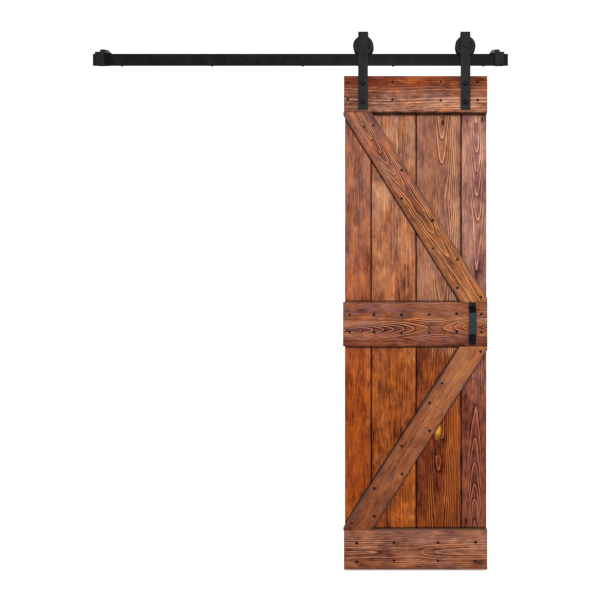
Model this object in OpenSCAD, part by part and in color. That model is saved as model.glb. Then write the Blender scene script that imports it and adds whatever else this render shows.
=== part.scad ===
// Sliding barn door: a boarded leaf with a two-brace batten frame, hung from a flat wall track.
// X runs along the track, -Y faces the room and +Z is up. The origin is where the axis of the
// middle stand-off meets the wall, so y = 0 is the wall and z = 0 is the middle of the track.

/* [Door leaf] */
// Overall width of the leaf across its battens
door_w = 620; // [540:1:1000]
// Overall height of the leaf
door_h = 2134; // [1900:1:2400]
// Thickness of the upright planks
plank_t = 17; // [14:0.5:25]
// Width of the left-hand edge plank
left_plank_w = 115; // [90:1:150]
// Width of the right-hand edge plank
right_plank_w = 111; // [90:1:150]
// Open joint seen between two planks
plank_gap = 3.5; // [1:0.5:5]
// How far the planks stop short of the batten ends, each side
plank_inset = 1; // [0:0.5:3]
// Thickness of the tongue between planks
tongue_t = 5; // [4:0.5:6]
// How far a tongue enters its groove
tongue_l = 7; // [5:0.5:10]
// Bevel on the front corners of the planks
plank_bevel = 1.5; // [0.5:0.5:2]

/* [Battens and braces] */
// Thickness of battens and braces
batten_t = 19; // [16:0.5:25]
// Height of the top batten
top_batten_h = 158; // [150:1:190]
// Height of the middle batten
mid_batten_h = 193; // [180:1:240]
// Height of the bottom batten
bottom_batten_h = 170; // [150:1:200]
// Underside of the middle batten above the foot of the door
mid_batten_z = 964; // [850:1:1100]
// How far the middle batten passes the others at its left end
mid_batten_over = 4; // [0:1:6]
// Width of the diagonal braces, square to their length
brace_w = 109; // [90:1:130]
// How far a brace aims past the corner before it is trimmed
brace_toe = 10; // [0:1:14]
// How far a trimmed brace tip passes the left end of the battens
brace_tip = 3; // [0:1:4]
// Bevel on the front corners of battens and braces
batten_bevel = 1.2; // [0.5:0.1:2]

/* [Track] */
// Length of the track
track_l = 1802; // [1750:1:2400]
// Height of the track bar
track_h = 50; // [40:1:55]
// Thickness of the track bar
track_t = 6; // [5:0.5:7]
// Clear height between the top of the leaf and the track
head_gap = 50; // [40:1:65]
// Length of track between the leaf's edge and the right-hand stop, at rest
rest_gap = 33; // [20:1:400]
// Number of stand-offs that hold the track off the wall
stand_offs = 5; // [3:2:7]
// Spacing of the stand-offs
stand_off_pitch = 400; // [250:1:410]
// Diameter of the stand-offs
stand_off_d = 18; // [16:1:24]
// Diameter of the tapped hole in the back of each stand-off
tapping_d = 8; // [6:1:10]
// Depth of the tapped hole
tapping_l = 24; // [16:1:28]

/* [Hangers] */
// Width of the hanger strap
strap_w = 42; // [38:1:48]
// Thickness of the hanger strap
strap_t = 6; // [5:0.5:8]
// Length of strap that lies on the leaf
strap_lap = 147; // [140:1:150]
// Left hanger, from the left end of the battens to its centre
left_hanger_x = 83; // [50:1:150]
// Right hanger, from the right end of the battens to its centre
right_hanger_x = 95; // [50:1:150]
// Upper and lower strap bolts, down from the top of the leaf
strap_bolt_z = [36, 117];
// How far the rear leg of the strap passes below the axle
rear_leg_drop = 15; // [12:1:18]
// Clear height between the top of the wheel and the fold of the strap
fold_gap = 13.5; // [11:0.5:20]

/* [Wheels] */
// Outside diameter of the wheel flanges
wheel_d = 89; // [84:1:94]
// Diameter of the groove that rolls on the track
tread_d = 61.6; // [56:0.2:66]
// Width of the wheel
wheel_w = 20; // [18:1:24]
// Gap each side between wheel and strap
wheel_side_gap = 2; // [1.5:0.5:4]
// Diameter of the axle
axle_d = 10; // [8:0.5:12]
// Outside diameter of the bearing
bearing_d = 30; // [28:1:34]
// Width of the bearing
bearing_w = 9; // [8:1:12]

/* [End stops] */
// Length of the stop body along the track
stop_l = 39; // [30:1:45]
// Height of the stop body's front cheek
stop_h = 58; // [54:1:62]
// How far the front cheek hangs below the track
stop_drop = 5; // [4:1:8]
// How far the back cheek ends above the track's lower edge
stop_heel = 5; // [3:1:6]
// Height of the crown above the track
stop_rise = 14; // [13:1:20]
// Thickness of the rubber buffer on the stop
buffer_l = 22; // [14:1:26]
// Length of track left showing beyond each stop
stop_margin = 19; // [5:1:40]

/* [Pull handle] */
// Width of the handle bar
handle_w = 30; // [24:1:36]
// Thickness of the handle bar
handle_t = 5; // [4:0.5:6]
// Clear depth behind the grip
grip_gap = 31; // [28:1:45]
// Straight length of the grip
grip_l = 80; // [70:1:100]
// Length of each foot
handle_foot_l = 13; // [12:1:16]
// Centre of the handle, in from the right end of the battens
handle_x = 66; // [40:1:90]

/* [Clearances] */
// Gap between the back of the leaf and the wall
wall_gap = 14; // [12:1:25]
// Radial clearance of a bolt in its hole
bolt_fit = 0.25; // [0.1:0.05:0.5]
// Radial clearance of a wood screw in its hole
screw_fit = 0.05; // [0.02:0.01:0.2]
// Radial clearance of a turned seat, such as a ring on the axle
seat_fit = 0.02; // [0.01:0.01:0.05]
// Clearance of a tongue in its groove, each side
tongue_fit = 0.3; // [0.2:0.1:0.6]
// Running gap between the wheel tread and the track
tread_fit = 0.2; // [0.1:0.05:0.3]
// Clearance of the stop over the track, each side
stop_fit = 0.2; // [0.1:0.05:0.4]

/* [Hidden] */
$fn = 48;
eps = 1;

// Depths, measured out from the wall
plank_back_d = wall_gap;
plank_front_d = plank_back_d + plank_t;
leaf_front_d = plank_front_d + batten_t;
strap_front_d = leaf_front_d + strap_t;
wheel_mid_d = leaf_front_d - wheel_side_gap - wheel_w / 2;
track_back_d = wheel_mid_d - track_t / 2;
track_front_d = wheel_mid_d + track_t / 2;

// Heights, from the middle of the track
track_top_z = track_h / 2;
wheel_z = track_top_z + tread_fit + tread_d / 2;
leaf_top_z = -track_top_z - head_gap;
leaf_bottom_z = leaf_top_z - door_h;
top_batten_z = door_h - top_batten_h;
mid_batten_top = mid_batten_z + mid_batten_h;

// Lengths along the track, with the leaf at rest near the right-hand stop
stop_outer_x = track_l / 2 - stop_margin;
stop_inner_x = stop_outer_x - stop_l;
leaf_left_x = stop_inner_x - rest_gap - door_w;

// Strap fold round the wheel
fold_r = wheel_w / 2 + wheel_side_gap;
rear_leg_back_d = wheel_mid_d - fold_r - strap_t;
fold_z = wheel_z + wheel_d / 2 + fold_gap - fold_r;

// Planks, between seams measured from the left end of the battens
planks = 4;
middle_w = door_w - 2 * plank_inset - left_plank_w - right_plank_w;
function seam(i) =
    i == 0 ? plank_inset :
    i == planks ? door_w - plank_inset :
    plank_inset + left_plank_w + middle_w * (i - 1) / (planks - 2);

// Wood screws that hold the battens
screw_head_d = 8.6;
screw_shank_d = 4.4;
screw_l = 31;
screw_sink = 0.8;
screw_cone_l = 3;
screw_drive = 3;
screw_tip_l = 6;
screw_edge = 22;
screw_wander = 3;

// Each entry of a column list is a plank number and a distance into that plank.
top_columns = [[0, 16], [1, 94], [2, 106], [3, 70]];
mid_columns = [[0, 24], [1, 14], [1, 132], [2, 56], [2, 175], [3, 86]];
bottom_columns = [[0, 54], [1, 100], [2, 95], [3, 60]];
top_rows = [26, 104];
mid_rows = [54, 133];
bottom_rows = [53, 134];

// A brace's columns also say which long edge the screw follows: 1 the upper, -1 the lower.
upper_brace_columns = [
    [1, 12, 1], [1, 133, 1], [1, 133, -1], [2, 72, 1], [2, 72, -1], [2, 178, 1], [2, 178, -1], [3, 84, 1]
];
lower_brace_columns = [
    [0, 34, 1], [1, 16, 1], [1, 16, -1], [1, 134, 1], [1, 134, -1], [2, 58, 1], [2, 58, -1],
    [2, 112, 1], [3, 82, -1]
];

function column_x(c) = seam(c[0]) + c[1];

// Screws in a batten: [x, z, plank], with the small unevenness of screws driven by hand.
function batten_screw_points(columns, rows, top, seed) = [
    let (wander = rands(-screw_wander, screw_wander, len(columns) * len(rows), seed))
    for (i = [0:len(columns) - 1], j = [0:len(rows) - 1])
        [column_x(columns[i]), top - rows[j] + wander[i * len(rows) + j], columns[i][0]]
];

// A brace runs corner to corner: this is its slope above the horizontal.
function brace_angle(rise) =
    let (run = door_w + 2 * brace_toe)
    atan2(rise, run) + asin(brace_w / norm([run, rise]));

// Screws in a brace that climbs to the right, or falls to the right where falls is true.
function brace_screw_points(columns, foot_z, head_z, falls) =
    let (
        angle = brace_angle(head_z - foot_z),
        reach = brace_w / sin(angle),
        inset = screw_edge / cos(angle)
    )
    [
        for (c = columns)
            let (
                from_toe = brace_toe + (falls ? door_w - column_x(c) : column_x(c)),
                upper = foot_z + from_toe * tan(angle),
                lower = upper - reach * tan(angle)
            )
            [column_x(c), c[2] > 0 ? upper - inset : lower + inset, c[0]]
    ];

top_points = batten_screw_points(top_columns, top_rows, door_h, 3);
mid_points = batten_screw_points(mid_columns, mid_rows, mid_batten_top, 5);
bottom_points = batten_screw_points(bottom_columns, bottom_rows, bottom_batten_h, 8);
upper_points = brace_screw_points(upper_brace_columns, mid_batten_top, top_batten_z, true);
lower_points = brace_screw_points(lower_brace_columns, bottom_batten_h, mid_batten_z, false);
all_points = concat(top_points, mid_points, bottom_points, upper_points, lower_points);

// Strap bolts
bolt_d = 8;
bolt_head_d = 16;
bolt_head_h = 4.5;
bolt_drive_af = 5;
face_washer_d = 23;
face_washer_t = 1.2;
back_washer_d = 24;
back_washer_t = 1.6;
strap_nut_af = 13;
strap_nut_h = 5;

// Axle
axle_head_d = 26;
axle_head_h = 4;
axle_sleeve_d = 16;
axle_nut_af = 16;
axle_nut_h = 8;

// Bearing
ball_d = 4.8;
ball_fit = 0.05;
balls = 8;
race_mid_d = (bearing_d + axle_d) / 2;
race_land = 3.4;
race_outer_id = race_mid_d + race_land;
race_inner_od = race_mid_d - race_land;
shield_t = 0.6;

// Wheel
groove_w = track_t + 2;
flange_tip_w = 3.5;
wheel_dish_d = 60;
wheel_hub_d = bearing_d + 8;
wheel_dish = 2;

// Spigots that fix the stand-offs in the back of the track
spigot_d = 10;
spigot_l = 4;
spigot_end_gap = 0.3;

// End stops
stop_cheek_t = 15;
stop_bevel = 4;
stop_crown_l = 21;
stop_crown_w = 24;
crown_bevel = 11;
stop_screw_d = 6;
stop_screw_gap = 20;

// Handle
handle_bend_r = 5;
handle_bend = 45;
bend_steps = 9;
handle_screw_d = 4;
handle_screw_head_d = 7.6;
handle_screw_l = 22;

// A bore or shaft along Y, from depth d0 to depth d1 in front of the wall.
module rod(d0, d1, diameter) {
    translate([0, -d0, 0]) rotate([90, 0, 0]) cylinder(h = d1 - d0, d = diameter);
}

// A cone along Y, from diameter a at depth d0 to diameter b at depth d1.
module taper(d0, d1, a, b) {
    translate([0, -d0, 0]) rotate([90, 0, 0]) cylinder(h = d1 - d0, d1 = a, d2 = b);
}

// A hexagonal bar along Y, from depth d0 to depth d1.
module hex_rod(d0, d1, across_flats) {
    translate([0, -d0, 0]) rotate([90, 0, 0])
        cylinder(h = d1 - d0, d = across_flats / cos(30), $fn = 6);
}

// A ring along Y.
module ring(d0, d1, outer, inner) {
    difference() {
        rod(d0, d1, outer);
        rod(d0 - eps, d1 + eps, inner);
    }
}

// A block between two depths.
module slab(x0, x1, d0, d1, z0, z1) {
    translate([x0, -d1, z0]) cube([x1 - x0, d1 - d0, z1 - z0]);
}

// Points along a flat bar at a distance out to the left of its middle line. Each entry of legs is
// a straight length and the turn after it, in degrees, positive to the left.
function bar_side(legs, bend, out, i = 0, from = [0, 0], way = 0) =
    let (
        turn = legs[i][1],
        s = sign(turn),
        start = from + out * [-sin(way), cos(way)],
        corner = from + legs[i][0] * [cos(way), sin(way)],
        pivot = corner + s * bend * [-sin(way), cos(way)],
        next = way + turn
    )
    turn == 0 ? [start, corner + out * [-sin(way), cos(way)]] :
    concat(
        [start],
        [
            for (k = [0:bend_steps - 1])
                let (a = way + turn * k / bend_steps)
                pivot + (bend - s * out) * s * [sin(a), -cos(a)]
        ],
        bar_side(legs, bend, out, i + 1, pivot + s * bend * [sin(next), -cos(next)], next)
    );

// The outline of a bent flat bar of thickness t. Its middle line starts at the origin, along x.
module bar_outline(legs, t, inside_r) {
    back = bar_side(legs, inside_r + t / 2, -t / 2);
    front = bar_side(legs, inside_r + t / 2, t / 2);
    polygon(concat(back, [for (i = [len(front) - 1:-1:0]) front[i]]));
}

// Moves a piece from the leaf's lower left corner to its place at rest.
module on_leaf() {
    translate([leaf_left_x, 0, leaf_bottom_z]) children();
}

function hanger_x(side) =
    leaf_left_x + (side < 0 ? left_hanger_x : door_w - right_hanger_x);

// ---- Leaf ----

module pilot_holes(points, plank) {
    bottom_d = leaf_front_d - screw_sink - screw_l - screw_fit;
    for (p = points)
        if (p[2] == plank)
            translate([p[0], 0, p[1]])
                rod(bottom_d, plank_front_d + eps, screw_shank_d + 2 * screw_fit);
}

module screw_holes(points) {
    seat_d = leaf_front_d - screw_sink - screw_cone_l;
    for (p = points) translate([p[0], 0, p[1]]) {
        rod(plank_front_d - eps, seat_d + eps, screw_shank_d + 2 * screw_fit);
        taper(seat_d, seat_d + screw_cone_l, screw_shank_d + 2 * screw_fit, screw_head_d + 2 * screw_fit);
        rod(seat_d + screw_cone_l, leaf_front_d + eps, screw_head_d + 2 * screw_fit);
    }
}

module strap_bolt_holes() {
    for (x = [left_hanger_x, door_w - right_hanger_x], z = strap_bolt_z)
        translate([x, 0, door_h - z])
            rod(plank_back_d - eps, leaf_front_d + eps, bolt_d + 2 * bolt_fit);
}

// Cross-section of plank i, with x across the leaf and y out from the wall.
module plank_section(i) {
    left = i == 0 ? seam(0) : seam(i) + plank_gap / 2;
    right = i == planks - 1 ? seam(planks) : seam(i + 1) - plank_gap / 2;
    mid = plank_t / 2;
    groove = tongue_l + tongue_fit;
    difference() {
        union() {
            polygon([
                [left, 0], [right, 0],
                [right, plank_t - plank_bevel], [right - plank_bevel, plank_t],
                [left + plank_bevel, plank_t], [left, plank_t - plank_bevel]
            ]);
            if (i < planks - 1)
                translate([right - eps, mid - tongue_t / 2])
                    square([plank_gap + tongue_l + eps, tongue_t]);
        }
        if (i > 0)
            translate([left - eps, mid - tongue_t / 2 - tongue_fit])
                square([groove + eps, tongue_t + 2 * tongue_fit]);
    }
}

module plank(i) {
    on_leaf() difference() {
        translate([0, -plank_back_d, 0]) mirror([0, 1, 0])
            linear_extrude(height = door_h) plank_section(i);
        pilot_holes(all_points, i);
        strap_bolt_holes();
    }
}

// A board with its front corners bevelled, between x0 and x1 and heights z0 and z1.
module board(x0, x1, z0, z1) {
    b = batten_bevel;
    intersection() {
        translate([x0, -plank_front_d, 0]) rotate([0, -90, 180])
            linear_extrude(height = x1 - x0)
            polygon([
                [z0, 0], [z1, 0], [z1, batten_t - b], [z1 - b, batten_t],
                [z0 + b, batten_t], [z0, batten_t - b]
            ]);
        translate([0, -plank_front_d, z0 - eps]) mirror([0, 1, 0])
            linear_extrude(height = z1 - z0 + 2 * eps)
            polygon([
                [x0, 0], [x1, 0], [x1, batten_t - b], [x1 - b, batten_t],
                [x0 + b, batten_t], [x0, batten_t - b]
            ]);
    }
}

module batten(z0, z1, over, points) {
    on_leaf() difference() {
        board(-over, door_w, z0, z1);
        screw_holes(points);
        strap_bolt_holes();
        if (z0 == mid_batten_z) handle_screw_holes();
    }
}

// A brace between two battens. It climbs to the right, or falls where falls is true.
module brace(foot_z, head_z, falls, points) {
    angle = brace_angle(head_z - foot_z);
    reach = brace_w / sin(angle);
    long = norm([door_w, head_z - foot_z]) + 2 * brace_w;
    toe_x = falls ? door_w + brace_toe : -brace_toe;
    turn = falls ? 180 - angle : angle;
    on_leaf() difference() {
        intersection() {
            slab(-brace_tip, door_w, plank_front_d, leaf_front_d, foot_z, head_z);
            translate([toe_x, 0, foot_z]) rotate([0, -turn, 0])
                board(-brace_w, long, falls ? 0 : -brace_w, falls ? brace_w : 0);
        }
        screw_holes(points);
    }
}

module wood_screw(head_d, shank_d, cone_l, length, front_d) {
    difference() {
        union() {
            taper(front_d - cone_l, front_d, shank_d, head_d);
            rod(front_d - length + screw_tip_l, front_d - cone_l, shank_d);
            taper(front_d - length, front_d - length + screw_tip_l, 1, shank_d);
        }
        translate([0, -front_d - eps, 0]) rotate([-90, 0, 0])
            translate([-screw_drive / 2, -screw_drive / 2, 0])
            cube([screw_drive, screw_drive, cone_l / 2 + eps]);
    }
}

module batten_screws(points) {
    color("#1b1712") on_leaf() for (p = points)
        translate([p[0], 0, p[1]])
            wood_screw(screw_head_d, screw_shank_d, screw_cone_l, screw_l, leaf_front_d - screw_sink);
}

// ---- Pull handle ----

bend_mid_r = handle_bend_r + handle_t / 2;
handle_leg_l = (grip_gap - 2 * bend_mid_r * (1 - cos(handle_bend))) / sin(handle_bend);
handle_leg_z = handle_leg_l * cos(handle_bend) + 2 * bend_mid_r * sin(handle_bend);
handle_l = 2 * handle_foot_l + 2 * handle_leg_z + grip_l;
handle_rise = 2.5;
handle_mid_z = mid_batten_z + mid_batten_h / 2 + handle_rise;

function handle_screw_heights() =
    [for (s = [-1, 1]) handle_mid_z + s * (handle_l - handle_foot_l) / 2];

module handle_screw_holes() {
    bottom_d = leaf_front_d + handle_t - handle_screw_l - screw_fit;
    for (z = handle_screw_heights())
        translate([door_w - handle_x, 0, z])
            rod(bottom_d, leaf_front_d + eps, handle_screw_d + 2 * screw_fit);
}

module pull_handle() {
    legs = [
        [handle_foot_l, -handle_bend], [handle_leg_l, handle_bend], [grip_l, handle_bend],
        [handle_leg_l, -handle_bend], [handle_foot_l, 0]
    ];
    color("#2c3338") on_leaf() difference() {
        translate([
            door_w - handle_x + handle_w / 2, -leaf_front_d - handle_t / 2, handle_mid_z - handle_l / 2
        ])
            rotate([0, -90, 0]) linear_extrude(height = handle_w)
            bar_outline(legs, handle_t, handle_bend_r);
        for (z = handle_screw_heights()) translate([door_w - handle_x, 0, z]) {
            rod(leaf_front_d - eps, leaf_front_d + handle_t + eps, handle_screw_d + 2 * bolt_fit);
            taper(leaf_front_d + handle_t - screw_cone_l, leaf_front_d + handle_t + eps,
                handle_screw_d + 2 * bolt_fit,
                handle_screw_head_d + 2 * bolt_fit
                    + eps * (handle_screw_head_d - handle_screw_d) / screw_cone_l);
        }
    }
}

module handle_screws() {
    color("#15181a") on_leaf() for (z = handle_screw_heights())
        translate([door_w - handle_x, 0, z])
            wood_screw(handle_screw_head_d, handle_screw_d, screw_cone_l, handle_screw_l,
                leaf_front_d + handle_t);
}

// ---- Hangers ----

module hanger_strap(side) {
    half = strap_w / 2;
    color("#303030") translate([hanger_x(side), 0, 0]) difference() {
        union() {
            slab(-half, half, leaf_front_d, strap_front_d, leaf_top_z - strap_lap, fold_z);
            slab(-half, half, rear_leg_back_d, wheel_mid_d - fold_r, wheel_z - rear_leg_drop, fold_z);
            translate([-half, -wheel_mid_d, fold_z]) rotate([90, 0, 90])
                rotate_extrude(angle = 180) translate([fold_r, 0]) square([strap_t, strap_w]);
        }
        translate([0, 0, wheel_z]) rod(0, strap_front_d + eps, axle_d + 2 * bolt_fit);
        for (z = strap_bolt_z) translate([0, 0, leaf_top_z - z])
            rod(leaf_front_d - eps, strap_front_d + eps, bolt_d + 2 * bolt_fit);
    }
}

module at_strap_bolts(side) {
    for (z = strap_bolt_z) translate([hanger_x(side), 0, leaf_top_z - z]) children();
}

module strap_bolts(side) {
    head_d = strap_front_d + face_washer_t;
    end_d = plank_back_d - back_washer_t - strap_nut_h;
    color("#262626") at_strap_bolts(side) difference() {
        union() {
            rod(end_d, head_d, bolt_d);
            rod(head_d, head_d + bolt_head_h - 1, bolt_head_d);
            taper(head_d + bolt_head_h - 1, head_d + bolt_head_h, bolt_head_d, bolt_head_d - 3);
        }
        hex_rod(head_d + bolt_head_h / 2, head_d + bolt_head_h + eps, bolt_drive_af);
    }
}

module face_washers(side) {
    color("#0d0d0d") at_strap_bolts(side)
        ring(strap_front_d, strap_front_d + face_washer_t, face_washer_d, bolt_d + 2 * bolt_fit);
}

module back_washers(side) {
    color("#262626") at_strap_bolts(side)
        ring(plank_back_d - back_washer_t, plank_back_d, back_washer_d, bolt_d + 2 * bolt_fit);
}

module strap_nuts(side) {
    color("#262626") at_strap_bolts(side) difference() {
        hex_rod(plank_back_d - back_washer_t - strap_nut_h, plank_back_d - back_washer_t, strap_nut_af);
        rod(0, plank_back_d, bolt_d + 2 * seat_fit);
    }
}

// ---- Axles, bearings and wheels ----

module at_wheel(side) {
    translate([hanger_x(side), 0, wheel_z]) children();
}

module axle_bolt(side) {
    color("#262626") at_wheel(side) difference() {
        union() {
            rod(rear_leg_back_d - axle_nut_h - 1.5, strap_front_d, axle_d);
            rod(strap_front_d, strap_front_d + axle_head_h - 1, axle_head_d);
            taper(strap_front_d + axle_head_h - 1, strap_front_d + axle_head_h,
                axle_head_d, axle_head_d - 4);
        }
        hex_rod(strap_front_d + 1, strap_front_d + axle_head_h + eps, bolt_drive_af + 1);
    }
}

module axle_sleeves(side) {
    color("#8d8f90") at_wheel(side) for (s = [-1, 1])
        ring(
            wheel_mid_d + (s < 0 ? -fold_r : bearing_w / 2),
            wheel_mid_d + (s < 0 ? -bearing_w / 2 : fold_r),
            axle_sleeve_d, axle_d + 2 * seat_fit
        );
}

module axle_nut(side) {
    color("#262626") at_wheel(side) difference() {
        hex_rod(rear_leg_back_d - axle_nut_h, rear_leg_back_d, axle_nut_af);
        rod(0, rear_leg_back_d + eps, axle_d + 2 * seat_fit);
    }
}

// A ring of the bearing, with the half-round race that the balls run in.
module race(outer, inner) {
    translate([0, -wheel_mid_d, 0]) rotate([90, 0, 0]) rotate_extrude($fn = 96) difference() {
        translate([inner / 2, -bearing_w / 2]) square([(outer - inner) / 2, bearing_w]);
        translate([race_mid_d / 2, 0]) circle(d = ball_d + 2 * ball_fit);
    }
}

module bearing_inner(side) {
    color("#b9bcbe") at_wheel(side) race(race_inner_od, axle_d + 2 * seat_fit);
}

module bearing_outer(side) {
    color("#b9bcbe") at_wheel(side) race(bearing_d, race_outer_id);
}

module bearing_balls(side) {
    color("#d5d7d8") at_wheel(side) for (i = [0:balls - 1])
        rotate([0, i * 360 / balls, 0]) translate([race_mid_d / 2, -wheel_mid_d, 0]) sphere(d = ball_d);
}

module bearing_shields(side) {
    color("#9a9c9e") at_wheel(side) for (s = [-1, 1])
        ring(
            wheel_mid_d + s * bearing_w / 2 - (s > 0 ? shield_t : 0),
            wheel_mid_d + s * bearing_w / 2 + (s > 0 ? 0 : shield_t),
            race_outer_id - 2 * seat_fit, race_inner_od + 2 * tongue_fit
        );
}

module wheel(side) {
    r = wheel_d / 2;
    half = wheel_w / 2;
    root = groove_w / 2;
    mouth = half - flange_tip_w;
    color("#2a2a2a") at_wheel(side)
        translate([0, -wheel_mid_d, 0]) rotate([90, 0, 0]) rotate_extrude($fn = 128) polygon([
            [bearing_d / 2 + seat_fit, -half], [wheel_hub_d / 2, -half],
            [wheel_hub_d / 2 + 1, -half + wheel_dish], [wheel_dish_d / 2 - 1, -half + wheel_dish],
            [wheel_dish_d / 2, -half], [r - 1, -half], [r, -half + 1],
            [r, -mouth - 0.5], [r - 0.5, -mouth], [tread_d / 2, -root],
            [tread_d / 2, root], [r - 0.5, mouth], [r, mouth + 0.5],
            [r, half - 1], [r - 1, half], [wheel_dish_d / 2, half],
            [wheel_dish_d / 2 - 1, half - wheel_dish], [wheel_hub_d / 2 + 1, half - wheel_dish],
            [wheel_hub_d / 2, half], [bearing_d / 2 + seat_fit, half]
        ]);
}

// ---- Track ----

function stand_off_xs() =
    [for (i = [0:stand_offs - 1]) (i - (stand_offs - 1) / 2) * stand_off_pitch];

module track() {
    color("#252525") difference() {
        slab(-track_l / 2, track_l / 2, track_back_d, track_front_d, -track_h / 2, track_h / 2);
        for (x = stand_off_xs()) translate([x, 0, 0])
            rod(track_back_d - eps, track_back_d + spigot_l + spigot_end_gap, spigot_d + 2 * seat_fit);
    }
}

module stand_off() {
    difference() {
        union() {
            rod(0, track_back_d, stand_off_d);
            rod(track_back_d - eps, track_back_d + spigot_l, spigot_d);
        }
        rod(-eps, tapping_l, tapping_d);
    }
}

module all_stand_offs() {
    color("#252525") for (x = stand_off_xs()) translate([x, 0, 0]) stand_off();
}

// ---- End stops ----

stop_back_d = track_back_d - stop_cheek_t;
stop_front_d = track_front_d + stop_cheek_t;
stop_foot_z = -track_top_z - stop_drop;
stop_heel_z = -track_top_z + stop_heel;
stop_crown_z = track_top_z + stop_rise;

module each_end(side) {
    if (side > 0) children();
    else mirror([1, 0, 0]) children();
}

// The room that the track needs inside the stop, open below.
module track_slot() {
    slab(0, track_l, track_back_d - stop_fit, track_front_d + stop_fit,
        stop_foot_z - eps, track_top_z + stop_fit);
}

// An outline of x and z points, as thick as from depth d0 to depth d1.
module plate(d0, d1, points) {
    translate([0, -d0, 0]) rotate([90, 0, 0]) linear_extrude(height = d1 - d0) polygon(points);
}

module stop_cheeks() {
    top_z = stop_foot_z + stop_h;
    b = stop_bevel;
    intersection() {
        plate(stop_back_d, stop_front_d, [
            [stop_inner_x + b, stop_foot_z], [stop_outer_x - b, stop_foot_z],
            [stop_outer_x, stop_foot_z + b], [stop_outer_x, top_z - b],
            [stop_outer_x - b, top_z], [stop_inner_x + b, top_z],
            [stop_inner_x, top_z - b], [stop_inner_x, stop_foot_z + b]
        ]);
        translate([stop_inner_x, 0, 0]) rotate([90, 0, 90]) linear_extrude(height = stop_l)
            polygon([
                [b - stop_front_d, stop_foot_z], [-track_back_d, stop_foot_z],
                [-track_back_d, stop_heel_z], [-stop_back_d - b, stop_heel_z],
                [-stop_back_d, stop_heel_z + b], [-stop_back_d, top_z - b],
                [-stop_back_d - b, top_z], [b - stop_front_d, top_z],
                [-stop_front_d, top_z - b], [-stop_front_d, stop_foot_z + b]
            ]);
    }
}

module stop_body(side) {
    color("#242424") each_end(side) difference() {
        union() {
            stop_cheeks();
            plate(wheel_mid_d - stop_crown_w / 2, wheel_mid_d + stop_crown_w / 2, [
                [stop_inner_x, 0], [stop_inner_x + stop_crown_l, 0],
                [stop_inner_x + stop_crown_l, stop_crown_z - stop_bevel],
                [stop_inner_x + stop_crown_l - stop_bevel, stop_crown_z],
                [stop_inner_x, stop_crown_z]
            ]);
        }
        track_slot();
        at_stop_screws() rod(stop_back_d - eps, track_back_d, stop_screw_d + 2 * seat_fit);
    }
}

module at_stop_screws() {
    for (s = [-1, 1])
        translate([stop_outer_x - stop_l / 2, 0, s * stop_screw_gap / 2]) children();
}

module stop_screws(side) {
    color("#1c1c1c") each_end(side) at_stop_screws() difference() {
        rod(stop_back_d + 1, track_back_d, stop_screw_d);
        hex_rod(stop_back_d, stop_back_d + 4, stop_screw_d / 2);
    }
}

module stop_buffer(side) {
    tip_x = stop_inner_x - buffer_l;
    color("#111111") each_end(side)
        plate(wheel_mid_d - wheel_w / 2, wheel_mid_d + wheel_w / 2, [
            [stop_inner_x, track_top_z + stop_fit], [stop_inner_x, stop_crown_z - stop_fit],
            [tip_x + crown_bevel, stop_crown_z - stop_fit], [tip_x, stop_crown_z - crown_bevel],
            [tip_x, track_top_z + stop_fit]
        ]);
}

// ---- Nodes ----

module wood() { color("#8f4f2c") children(); }

wood() plank(0);  // plank_1
wood() plank(1);  // plank_2
wood() plank(2);  // plank_3
wood() plank(3);  // plank_4
wood() batten(top_batten_z, door_h, 0, top_points);  // top_batten
wood() batten(mid_batten_z, mid_batten_top, mid_batten_over, mid_points);  // mid_batten
wood() batten(0, bottom_batten_h, 0, bottom_points);  // bottom_batten
wood() brace(mid_batten_top, top_batten_z, true, upper_points);  // upper_brace
wood() brace(bottom_batten_h, mid_batten_z, false, lower_points);  // lower_brace
batten_screws(top_points);  // top_batten_screws
batten_screws(mid_points);  // mid_batten_screws
batten_screws(bottom_points);  // bottom_batten_screws
batten_screws(upper_points);  // upper_brace_screws
batten_screws(lower_points);  // lower_brace_screws
pull_handle();
handle_screws();
hanger_strap(-1);  // left_hanger_strap
hanger_strap(1);  // right_hanger_strap
strap_bolts(-1);  // left_strap_bolts
strap_bolts(1);  // right_strap_bolts
face_washers(-1);  // left_face_washers
face_washers(1);  // right_face_washers
back_washers(-1);  // left_back_washers
back_washers(1);  // right_back_washers
strap_nuts(-1);  // left_strap_nuts
strap_nuts(1);  // right_strap_nuts
axle_bolt(-1);  // left_axle_bolt
axle_bolt(1);  // right_axle_bolt
axle_sleeves(-1);  // left_axle_sleeves
axle_sleeves(1);  // right_axle_sleeves
axle_nut(-1);  // left_axle_nut
axle_nut(1);  // right_axle_nut
bearing_inner(-1);  // left_bearing_inner
bearing_inner(1);  // right_bearing_inner
bearing_outer(-1);  // left_bearing_outer
bearing_outer(1);  // right_bearing_outer
bearing_balls(-1);  // left_bearing_balls
bearing_balls(1);  // right_bearing_balls
bearing_shields(-1);  // left_bearing_shields
bearing_shields(1);  // right_bearing_shields
wheel(-1);  // left_wheel
wheel(1);  // right_wheel
track();
all_stand_offs();  // stand_offs
stop_body(-1);  // left_stop_body
stop_body(1);  // right_stop_body
stop_buffer(-1);  // left_stop_buffer
stop_buffer(1);  // right_stop_buffer
stop_screws(-1);  // left_stop_screws
stop_screws(1);  // right_stop_screws
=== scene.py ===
"""A boarded pine door hung on a flat wall track: its finishes, boards, fixings, hardware and set.

Everything is in metres. X runs along the track, -Y faces the room and +Z is up.
"""

from __future__ import annotations

import logging
import math
from dataclasses import dataclass
from enum import Enum
from typing import Any, Sequence

import bmesh
import bpy
from mathutils import Euler, Matrix, Vector, noise

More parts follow.
